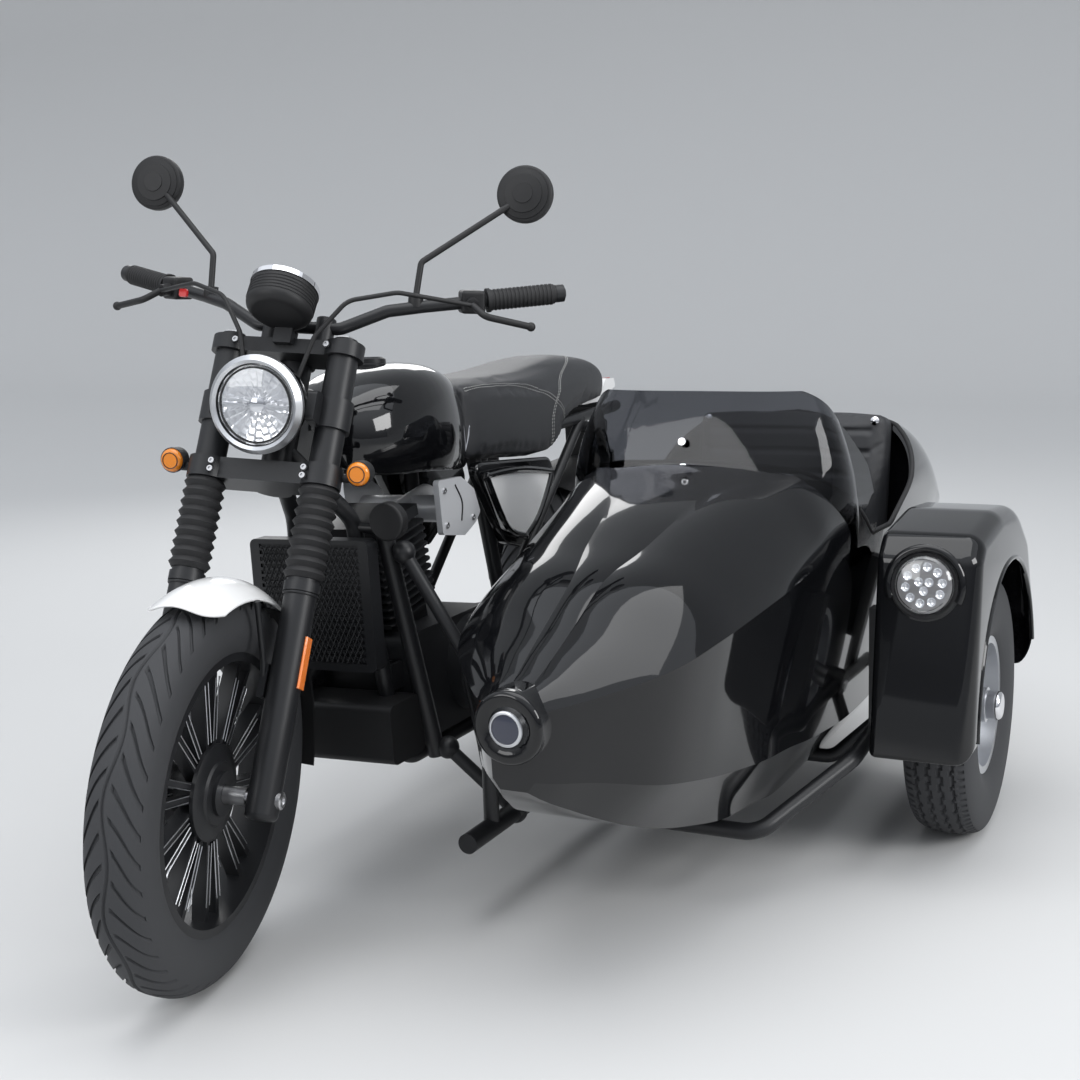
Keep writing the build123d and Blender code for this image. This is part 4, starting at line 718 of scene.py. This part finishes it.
# Skins: copies of lofted solids with their faces welded, so that light runs over them unbroken
def welded_skin(name, node_name, crease):
    """A copy of a solid with shared edges and creases only where it turns sharply."""
    mesh = nodes[node_name].data.copy()
    mesh.name = name
    tidy = bmesh.new()
    tidy.from_mesh(mesh)
    bmesh.ops.remove_doubles(tidy, verts=tidy.verts, dist=0.00002)
    bmesh.ops.dissolve_degenerate(tidy, edges=tidy.edges, dist=0.00002)
    tidy.to_mesh(mesh)
    tidy.free()
    shade_smooth(mesh, crease)
    piece = linked(name, mesh)
    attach(piece, "chassis")
    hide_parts(node_name)
    return piece


# Sidecar hull: a smooth outer shell over the solid, with a crease at each shoulder and ridge
# y, floor half width and z, chine half width and z, shoulder half width and z,
# flank half width and z, ridge half width and z, crown z
HULL_ROWS = [
    (32, 22, 376, 34, 392, 38, 494, 34, 500, 12, 505, 506),
    (120, 56, 322, 96, 372, 122, 511, 98, 530, 20, 547, 549),
    (210, 88, 276, 150, 346, 185, 530, 144, 562, 24, 588, 591),
    (310, 108, 237, 180, 326, 220, 552, 170, 604, 28, 635, 639),
    (410, 122, 208, 194, 308, 236, 566, 182, 632, 50, 665, 670),
    (540, 137, 178, 209, 290, 251, 582, 196, 664, 70, 703, 708),
    (676, 145, 163, 215, 275, 260, 598, 214, 694, 104, 732, 738),
    (770, 150, 150, 220, 262, 266, 608, 230, 712, 190, 742, 757),
    (1000, 152, 150, 224, 240, 274, 630, 242, 728, 196, 756, 768),
    (1250, 152, 150, 222, 240, 276, 636, 248, 736, 204, 764, 778),
    (1480, 148, 160, 214, 256, 266, 632, 242, 726, 200, 762, 782),
    (1680, 124, 220, 188, 310, 246, 590, 222, 656, 176, 690, 708),
    (1840, 96, 300, 152, 370, 214, 530, 190, 572, 144, 594, 604),
    (1950, 60, 390, 104, 420, 150, 478, 134, 498, 98, 511, 516),
]
HULL_STEPS = 96
NOSE_SWELL = 1.35


def hull_row(y):
    """The hull's row of sizes at any distance from the front, on smooth curves through the given rows."""
    last = len(HULL_ROWS) - 1
    k = max([i for i in range(last) if HULL_ROWS[i][0] <= y + 0.001] or [0])
    low, high = HULL_ROWS[k], HULL_ROWS[k + 1]
    before = HULL_ROWS[max(0, k - 1)]
    after = HULL_ROWS[min(last, k + 2)]
    span = high[0] - low[0]
    s = min(1.0, max(0.0, (y - low[0]) / span))
    made = [y]
    for c in range(1, len(low)):
        slope_low = (high[c] - before[c]) / (high[0] - before[0]) * span
        slope_high = (after[c] - low[c]) / (after[0] - low[0]) * span
        if k == 0:
            slope_low = NOSE_SWELL * (high[c] - low[c])
        made.append((2 * s ** 3 - 3 * s * s + 1) * low[c] + (s ** 3 - 2 * s * s + s) * slope_low
                    + (3 * s * s - 2 * s ** 3) * high[c] + (s ** 3 - s * s) * slope_high)
    return made


def arc_through(a, b, c, steps):
    """Points on the circle through three points, from the first to the last."""
    ax, az = a
    bx, bz = b
    cx, cz = c
    d = 2 * (ax * (bz - cz) + bx * (cz - az) + cx * (az - bz))
    if abs(d) < 1e-3:
        return [(ax + (cx - ax) * k / steps, az + (cz - az) * k / steps) for k in range(steps + 1)]
    aa = ax * ax + az * az
    bb = bx * bx + bz * bz
    cc = cx * cx + cz * cz
    ux = (aa * (bz - cz) + bb * (cz - az) + cc * (az - bz)) / d
    uz = (aa * (cx - bx) + bb * (ax - cx) + cc * (bx - ax)) / d
    radius = sqrt((ax - ux) ** 2 + (az - uz) ** 2)
    start = atan2(az - uz, ax - ux)
    sweep = (atan2(cz - uz, cx - ux) - start + pi) % (2 * pi) - pi
    return [(ux + radius * cos(start + sweep * k / steps), uz + radius * sin(start + sweep * k / steps))
            for k in range(steps + 1)]


def hull_outline(y, inset):
    """Closed section of the hull as points of x from its middle and z, drawn in by the inset."""
    row = hull_row(y)
    floor = (row[1] - inset * 0.5, row[2] + inset)
    chine = (row[3] - inset, row[4] + inset * 0.4)
    shoulder = (row[5] - inset, row[6])
    flank = (row[7] - inset * 0.7, row[8] - inset * 0.7)
    ridge = (row[9] - inset * 0.2, row[10] - inset)
    half = [(floor[0] * k / 4, floor[1]) for k in range(5)]
    for start, end, steps in ((floor, chine, 8), (chine, shoulder, 16)):
        for k in range(1, steps + 1):
            s = k / steps
            half.append((start[0] + (end[0] - start[0]) * s, start[1] + (end[1] - start[1]) * s))
    half += arc_through(shoulder, flank, ridge, 20)[1:]
    top = arc_through(ridge, (0, row[11] - inset), (-ridge[0], ridge[1]), 16)
    half += top[1:9]
    return half + [(-x, z) for x, z in reversed(half[1:-1])]


def hull_mesh(inset):
    """The hull as a closed mesh, drawn in by the inset."""
    first = HULL_ROWS[0][0] + inset
    last = HULL_ROWS[-1][0] - inset
    rows = []
    for k in range(HULL_STEPS + 1):
        y = first + (last - first) * k / HULL_STEPS
        rows.append([(BODY_X + x, y, z) for x, z in hull_outline(y, inset)])
    return closed_net(rows)


def hull_half_at(y, z):
    """Half width of the hull's outside at a height above its shoulder or beside it."""
    outline = hull_outline(y, 0)
    half = outline[:len(outline) // 2 + 1]
    best = 0.0
    for (xa, za), (xb, zb) in zip(half, half[1:]):
        if min(za, zb) <= z <= max(za, zb) and abs(zb - za) > 1e-6:
            best = max(best, xa + (xb - xa) * (z - za) / (zb - za))
    return best


def cut_away(piece, cutter):
    """Takes one mesh out of another and deletes the cutter."""
    tool = piece.modifiers.new("cut", "BOOLEAN")
    tool.operation = "DIFFERENCE"
    tool.solver = "EXACT"
    tool.object = cutter
    bpy.context.view_layer.objects.active = piece
    bpy.ops.object.modifier_apply(modifier=tool.name)
    bpy.data.objects.remove(cutter)


GLASSFIBRE = "black_gloss_glassfibre"
RIM_LINE = [(790, 752), (1002, 604), (1150, 598), (1300, 668), (1441, 772)]
COCKPIT = [(790, 900), *RIM_LINE, (1441, 900)]
CUT_HALF = 330.0
SHELL_T = 1.2
SHELL_LIFT = 2.6
# Metres within which a point counts as part of the nose, or of the hull's outside
NOSE_REACH = 0.075
WALL_REACH = 0.0055
hull_shell = add_piece("hull_shell", *hull_mesh(0), ON_GROUND, GLASSFIBRE)
hull_surface = surface_of(hull_shell)
cut_away(hull_shell, add_piece("shell_inside", *hull_mesh(SHELL_T), ON_GROUND, GLASSFIBRE))
prism = closed_net([[(BODY_X + side * CUT_HALF, y, z) for y, z in COCKPIT] for side in (-1, 1)])
cut_away(hull_shell, add_piece("cockpit_cut", *prism, ON_GROUND, GLASSFIBRE))
shade_smooth(hull_shell.data, 11)
inner_hull = welded_skin("hull_inside", "sidecar_body", 30)
nose_at = ON_GROUND @ Vector((BODY_X, 40, 474))
for vertex in inner_hull.data.vertices:
    near, normal, index, distance = hull_surface.find_nearest(vertex.co)
    on_nose = (vertex.co - nose_at).length < NOSE_REACH
    if near is not None and distance < WALL_REACH and not on_nose:
        vertex.co = near - normal * (SHELL_LIFT * 0.001)
inner_hull.data.update()
# Trim round the cockpit: over the hood's edge, down and along the rim, and behind the seat
TRIM_INSET = 2
hood_y, hood_z = RIM_LINE[0]
crown_z = hull_row(hood_y)[11]
rim_path = [(0, hood_y, crown_z)]
for k in range(1, 5):
    rim_path.append((36.0 * k, hood_y, hood_z + (crown_z - hood_z) * (1 - k / 5)))
for (ya, za), (yb, zb) in zip(RIM_LINE, RIM_LINE[1:]):
    for k in range(8):
        s = (k + 0.5) / 8
        y = ya + (yb - ya) * s
        z = za + (zb - za) * s
        rim_path.append((hull_half_at(y, z) - TRIM_INSET, y, z))
rim_path += [(150, 1441, 777), (75, 1441, 780), (0, 1441, hull_row(1441)[11])]
rim_loop = [(BODY_X + x, y, z) for x, y, z in rim_path]
rim_loop += [(BODY_X - x, y, z) for x, y, z in reversed(rim_path[1:-1])]
add_piece("cockpit_trim", *tube(smooth_path(rim_loop, 3, True), 5.0, 10, True), ON_GROUND, "rubber")
welded_skin("tank_skin", "fuel_tank", 30)


# Mudguard skin: the solid's outline and wall with the moulding's large rounded edges
GUARD_IN = 862.0
GUARD_OUT = 1044.0
GUARD_WALL = 4.0
ARCH_R = 286.0
SIDE_HUB = (1128.0, 254.0)
# y, z, corner radius
GUARD_PROFILE = [
    (776, 236, 10), (834, 596, 40), (872, 632, 44), (1044, 650, 200), (1220, 636, 200), (1346, 556, 80),
    (1446, 366, 60), (1404, 236, 10)]


def inset_outline(corners, inset, steps=8):
    """Convex outline moved inwards, with its corners rounded."""
    count = len(corners)
    lines = []
    for index in range(count):
        a = Vector(corners[index][:2])
        b = Vector(corners[(index + 1) % count][:2])
        along = (b - a).normalized()
        inward = Vector((along.y, -along.x))
        lines.append((a + inward * inset, along))
    made = []
    for index in range(count):
        (a, u), (b, v) = lines[index - 1], lines[index]
        cross = u.x * v.y - u.y * v.x
        corner = a + u * (((b.x - a.x) * v.y - (b.y - a.y) * v.x) / cross)
        bend = u.angle(v)
        radius = max(2.0, corners[index][2] - inset)
        cut = radius * sin(bend / 2) / max(0.01, cos(bend / 2))
        for step in range(steps + 1):
            s = step / steps
            start = corner - u * cut
            end = corner + v * cut
            made.append((1 - s) ** 2 * start + 2 * s * (1 - s) * corner + s * s * end)
    return made


def rounded_prism(corners, low_x, high_x, low_round, high_round, inset=0.0, drop=0.0):
    """Closed mesh of an outline between two planes across X, with the edges of both ends rounded."""
    turns = [radians(11.25 * k) for k in range(9)]
    ends = [(low_x + inset + low_round * (1 - cos(turn)), low_round * (1 - sin(turn))) for turn in turns]
    ends += [(high_x - inset - high_round * (1 - cos(turn)), high_round * (1 - sin(turn)))
             for turn in reversed(turns)]
    rows = []
    for x, edge in ends:
        rows.append([(x, p.x, p.y - drop) for p in inset_outline(corners, inset + edge)])
    return closed_net(rows)


guard_form = rounded_prism(GUARD_PROFILE, GUARD_IN, GUARD_OUT, 14, 34)
guard = add_piece("guard_skin", *guard_form, ON_GROUND, GLASSFIBRE)
hollow_form = rounded_prism(GUARD_PROFILE, GUARD_IN, GUARD_OUT, 12, 31, GUARD_WALL, GUARD_WALL + 6)
cut_away(guard, add_piece("guard_hollow", *hollow_form, ON_GROUND, GLASSFIBRE))
arch = [(0, GUARD_IN - 20), (ARCH_R, GUARD_IN - 20), (ARCH_R, GUARD_OUT + 20), (0, GUARD_OUT + 20)]
arch = moved(lathe(arch, 160), placed((0, *SIDE_HUB), 90, "Y"))
cut_away(guard, add_piece("guard_arch", *arch, ON_GROUND, GLASSFIBRE))
shade_smooth(guard.data, 30)
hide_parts("sidecar_mudguard")
LIP_R = ARCH_R + 3
lip = []
for degrees in range(-88, 77, 4):
    turn = radians(degrees)
    lip.append(Vector((GUARD_OUT - 1.5, SIDE_HUB[0] + LIP_R * sin(turn), SIDE_HUB[1] + LIP_R * cos(turn))))
add_piece("guard_lip", *tube(lip, 5, 10), ON_GROUND, GLASSFIBRE)
BROW_R = 56.0
brow = []
for degrees in range(-25, 206, 6):
    turn = radians(degrees)
    brow.append(Vector((BROW_R * cos(turn), BROW_R * sin(turn), 2 + 3 * sin(turn))))
add_piece("lamp_brow", *tube(brow, 6.5, 12), FRONT_LAMP, GLASSFIBRE)

# Black gloss mouldings that carry the white side panels
# y, z, corner radius
SURROUND = [
    (748, 746, 24), (1092, 716, 30), (1112, 664, 24), (1012, 590, 40), (936, 548, 26), (872, 566, 40)]
SURROUND_IN = 100.0
SURROUND_OUT = 121.0
for side, word in SIDES:
    form = rounded_prism(SURROUND, SURROUND_IN, SURROUND_OUT, 1, 7)
    form = moved(form, Matrix.Scale(side, 4, (1, 0, 0)))
    add_piece("panel_moulding_" + word, *form, ON_BIKE, "black_gloss_paint")


# Soft goods: each cushion is blown up a little from its form, then held
CLOTH_STEPS = 15


def soft_piece(name, node_name, voxel, reach, pressure, form=None):
    """A stuffed copy of a solid or of a finer form, with its surface swollen by a short cloth run."""
    if form:
        mesh = bpy.data.meshes.new(name)
        mesh.from_pydata([ON_BIKE @ Vector(point) for point in form[0]], [], form[1])
    else:
        mesh = nodes[node_name].data.copy()
        mesh.name = name
    piece = linked(name, mesh)
    remesh = piece.modifiers.new("even", "REMESH")
    remesh.mode = "VOXEL"
    remesh.voxel_size = voxel
    bpy.context.view_layer.objects.active = piece
    bpy.ops.object.select_all(action="DESELECT")
    piece.select_set(True)
    bpy.ops.object.modifier_apply(modifier=remesh.name)
    still = [vertex.co.copy() for vertex in piece.data.vertices]
    cloth = piece.modifiers.new("fill", "CLOTH")
    cloth.settings.quality = 5
    cloth.settings.use_pressure = True
    cloth.settings.uniform_pressure_force = pressure
    cloth.settings.effector_weights.gravity = 0.0
    cloth.settings.tension_stiffness = 40
    cloth.settings.compression_stiffness = 40
    cloth.settings.bending_stiffness = 2.0
    for step in range(1, CLOTH_STEPS + 1):
        bpy.context.scene.frame_set(step)
    bpy.ops.object.modifier_apply(modifier=cloth.name)
    bpy.context.scene.frame_set(1)
    for vertex, home in zip(piece.data.vertices, still):
        shift = vertex.co - home
        if shift.length > reach:
            vertex.co = home + shift * (reach / shift.length)
    piece.data.materials.clear()
    piece.data.materials.append(MATERIALS["black_leathercloth"])
    piece.data.polygons.foreach_set("use_smooth", [True] * len(piece.data.polygons))
    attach(piece, "chassis")
    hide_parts(node_name)
    return piece


def pressed(piece, matrix, depth_at):
    """Moves a cushion's points along their normals by a function of the place in millimetres."""
    back = matrix.inverted()
    normals = [vertex.normal.copy() for vertex in piece.data.vertices]
    for vertex, normal in zip(piece.data.vertices, normals):
        vertex.co -= normal * depth_at(back @ vertex.co) * 0.001
    piece.data.update()


BULKHEAD = ON_GROUND @ placed((BODY_X, 1398, 560), -12)
PLEATS = [-92, -46, 0, 46, 92, 138, 184]
PLEAT_DEPTH = 5.5
PLEAT_HALF = 9.0


def pleat_depth(p):
    """Depth of the pleats in the front of the backrest."""
    if p.y >= -40 or abs(p.x) >= 178:
        return 0.0
    return max(PLEAT_DEPTH * max(0.0, 1 - abs(p.z - z) / PLEAT_HALF) for z in PLEATS)


backrest = soft_piece("backrest_padding", "sidecar_backrest", 0.0045, 0.006, 3.0)
pressed(backrest, BULKHEAD, pleat_depth)
button = lathe([(0, 4), (6, 3.6), (9, 1.5), (9.4, -1)], 24)
buttons = [moved(button, placed((x, -82, 205), 90)) for x in (-184, 184)]
soft_piece("cushion_padding", "sidecar_cushion", 0.005, 0.012, 4.0)

# y, lower z, lower half, side half, seam z, crown z
SEAT_ROWS = [
    (750, 760, 106, 108, 884, 898), (800, 752, 114, 116, 886, 903), (900, 741, 117, 119, 882, 902),
    (1000, 731, 118, 120, 872, 902), (1090, 727, 118, 120, 856, 907), (1150, 748, 116, 119, 846, 912),
    (1200, 782, 112, 116, 846, 916), (1280, 800, 105, 110, 852, 918), (1360, 806, 97, 102, 856, 912),
    (1430, 810, 88, 92, 852, 902), (1478, 816, 74, 78, 846, 884), (1498, 828, 60, 64, 838, 860)]
# Powers below one make the seat's round fuller than an ellipse
SIDE_POWER = 0.62
CROWN_POWER = 0.8


def seat_form():
    """Closed mesh of the rider's seat through upright sections."""
    rows = []
    for y, low_z, low_half, side_half, seam_z, crown_z in SEAT_ROWS:
        half = [(low_half * k / 4, low_z) for k in range(5)]
        for k in range(1, 5):
            half.append((low_half + (side_half - low_half) * k / 4, low_z + (seam_z - low_z) * k / 4))
        for k in range(1, 11):
            turn = radians(9 * k)
            half.append((side_half * abs(cos(turn)) ** SIDE_POWER,
                         seam_z + (crown_z - seam_z) * sin(turn) ** CROWN_POWER))
        rows.append([(x, y, z) for x, z in half + [(-x, z) for x, z in reversed(half[1:-1])]])
    fine = []
    columns = [smooth_path([row[c] for row in rows], 5) for c in range(len(rows[0]))]
    for k in range(len(columns[0])):
        fine.append([tuple(column[k]) for column in columns])
    return closed_net(fine)


seat = soft_piece("seat_padding", "rider_seat", 0.006, 0.004, 2.0, seat_form())
THREAD_LIFT = 0.0003


def stitches(name, surface, lines, matrix, pitch=6.5, length=4.2, radius=0.55):
    """Rows of short stitches laid on a surface along lines given in millimetres."""
    skin = surface_of(surface)
    groups = []
    for line in lines:
        path = smooth_path(line, 40)
        walked = 0.0
        due = 0.0
        for a, b in zip(path, path[1:]):
            walked += (b - a).length
            if walked < due:
                continue
            due = walked + pitch
            along = (b - a).normalized() * length / 2
            ends = []
            for point in (a - along, a + along):
                near, normal, index, distance = skin.find_nearest(matrix @ point)
                ends.append((near + normal * THREAD_LIFT) * 1000)
            groups.append(tube(ends, radius, 5))
    add_piece(name, *joined(groups), MM, THREAD)


SIDE_SEAM = [
    (113, 762, 890), (119, 820, 892), (121, 930, 886), (122, 1046, 864), (121, 1140, 828), (118, 1195, 788)]
CROSS_SEAM = [
    (120, 1108, 742), (121, 1114, 800), (119, 1150, 848), (110, 1196, 884), (80, 1282, 906), (40, 1352, 914),
    (0, 1380, 914)]
seat_lines = []
for side in (-1, 1):
    for shift in (-4, 4):
        seat_lines.append([(side * x, y, z + shift) for x, y, z in SIDE_SEAM])
        seat_lines.append([(side * x, y + shift, z) for x, y, z in CROSS_SEAM])
stitches("seat_stitching", seat, seat_lines, ON_BIKE)
add_piece("backrest_buttons", *joined(buttons), BULKHEAD, "chrome")

# Floor, light and camera
WHITE_FLOOR = material("floor", (0.6, 0.6, 0.595), 0.8)
COVE_Y = 9.0
COVE_R = 4.0
COVE_HALF = 300.0
FLOOR_Z = -0.0005
cove_line = [(-COVE_HALF, FLOOR_Z), (COVE_Y, FLOOR_Z)]
for degrees in range(6, 91, 6):
    turn = radians(degrees)
    cove_line.append((COVE_Y + COVE_R * sin(turn), COVE_R * (1 - cos(turn))))
cove_line += [(COVE_Y + COVE_R, 30.0)]
cove = grid([[(x, y, z) for y, z in cove_line] for x in (-COVE_HALF, COVE_HALF)])
floor_mesh = bpy.data.meshes.new("floor")
floor_mesh.from_pydata(cove[0], [], cove[1])
floor_mesh.materials.append(WHITE_FLOOR)
floor_mesh.polygons.foreach_set("use_smooth", [True] * len(floor_mesh.polygons))
floor = linked("floor", floor_mesh)

# Sky of the studio: dim at the level of the object, bright overhead
world = bpy.data.worlds.new("studio")
world.use_nodes = True
sky_tree = world.node_tree
sky_place = sky_tree.nodes.new("ShaderNodeTexCoord")
sky_split = sky_tree.nodes.new("ShaderNodeSeparateXYZ")
sky_ramp = sky_tree.nodes.new("ShaderNodeValToRGB")
sky_ramp.color_ramp.elements[0].position = 0.03
sky_ramp.color_ramp.elements[0].color = (0.2, 0.21, 0.23, 1)
sky_ramp.color_ramp.elements[1].position = 0.62
sky_ramp.color_ramp.elements[1].color = (0.9, 0.94, 1.0, 1)
sky_tree.links.new(sky_place.outputs["Generated"], sky_split.inputs["Vector"])
sky_tree.links.new(sky_split.outputs["Z"], sky_ramp.inputs["Fac"])
sky_tree.links.new(sky_ramp.outputs["Color"], sky_tree.nodes["Background"].inputs["Color"])
sky_tree.nodes["Background"].inputs["Strength"].default_value = 1.12
bpy.context.scene.world = world


def softbox(name, at, target, width, height, power):
    """A large rectangular light turned to a point."""
    lamp = bpy.data.lights.new(name, "AREA")
    lamp.shape = "RECTANGLE"
    lamp.size = width
    lamp.size_y = height
    lamp.energy = power
    holder = linked(name, lamp)
    holder.location = at
    holder.rotation_euler = (Vector(target) - Vector(at)).to_track_quat("-Z", "Y").to_euler()


MIDDLE = (0.0, -0.1, 0.5)
softbox("overhead", (0.4, -0.6, 3.6), MIDDLE, 3.6, 2.6, 60)
softbox("front", (-1.6, -4.2, 2.2), MIDDLE, 2.2, 1.6, 40)
softbox("sidecar side", (4.2, -0.6, 2.4), MIDDLE, 2.0, 1.6, 90)
softbox("behind", (-2.6, 3.4, 2.6), MIDDLE, 2.6, 1.6, 40)

CAMERA_AT = (1560.0, -1903.0, 1135.0)
YAW = radians(26.544)
PITCH = radians(10.127)
ROLL = radians(-1.807)
LENS = 52.611
ahead = Vector((-sin(YAW) * cos(PITCH), cos(YAW) * cos(PITCH), -sin(PITCH)))
level = Vector((cos(YAW), sin(YAW), 0))
above = level.cross(ahead)
right = level * cos(ROLL) + above * sin(ROLL)
up = above * cos(ROLL) - level * sin(ROLL)
camera = linked("camera", bpy.data.cameras.new("camera"))
camera.data.lens = LENS
camera.data.sensor_width = 36.0
camera.data.clip_start = 0.05
camera.data.clip_end = 200
turn = Matrix((right, up, -ahead)).transposed().to_4x4()
camera.matrix_world = Matrix.Translation(ON_GROUND @ Vector(CAMERA_AT)) @ turn
bpy.context.scene.camera = camera
bpy.context.scene.view_settings.view_transform = "Standard"
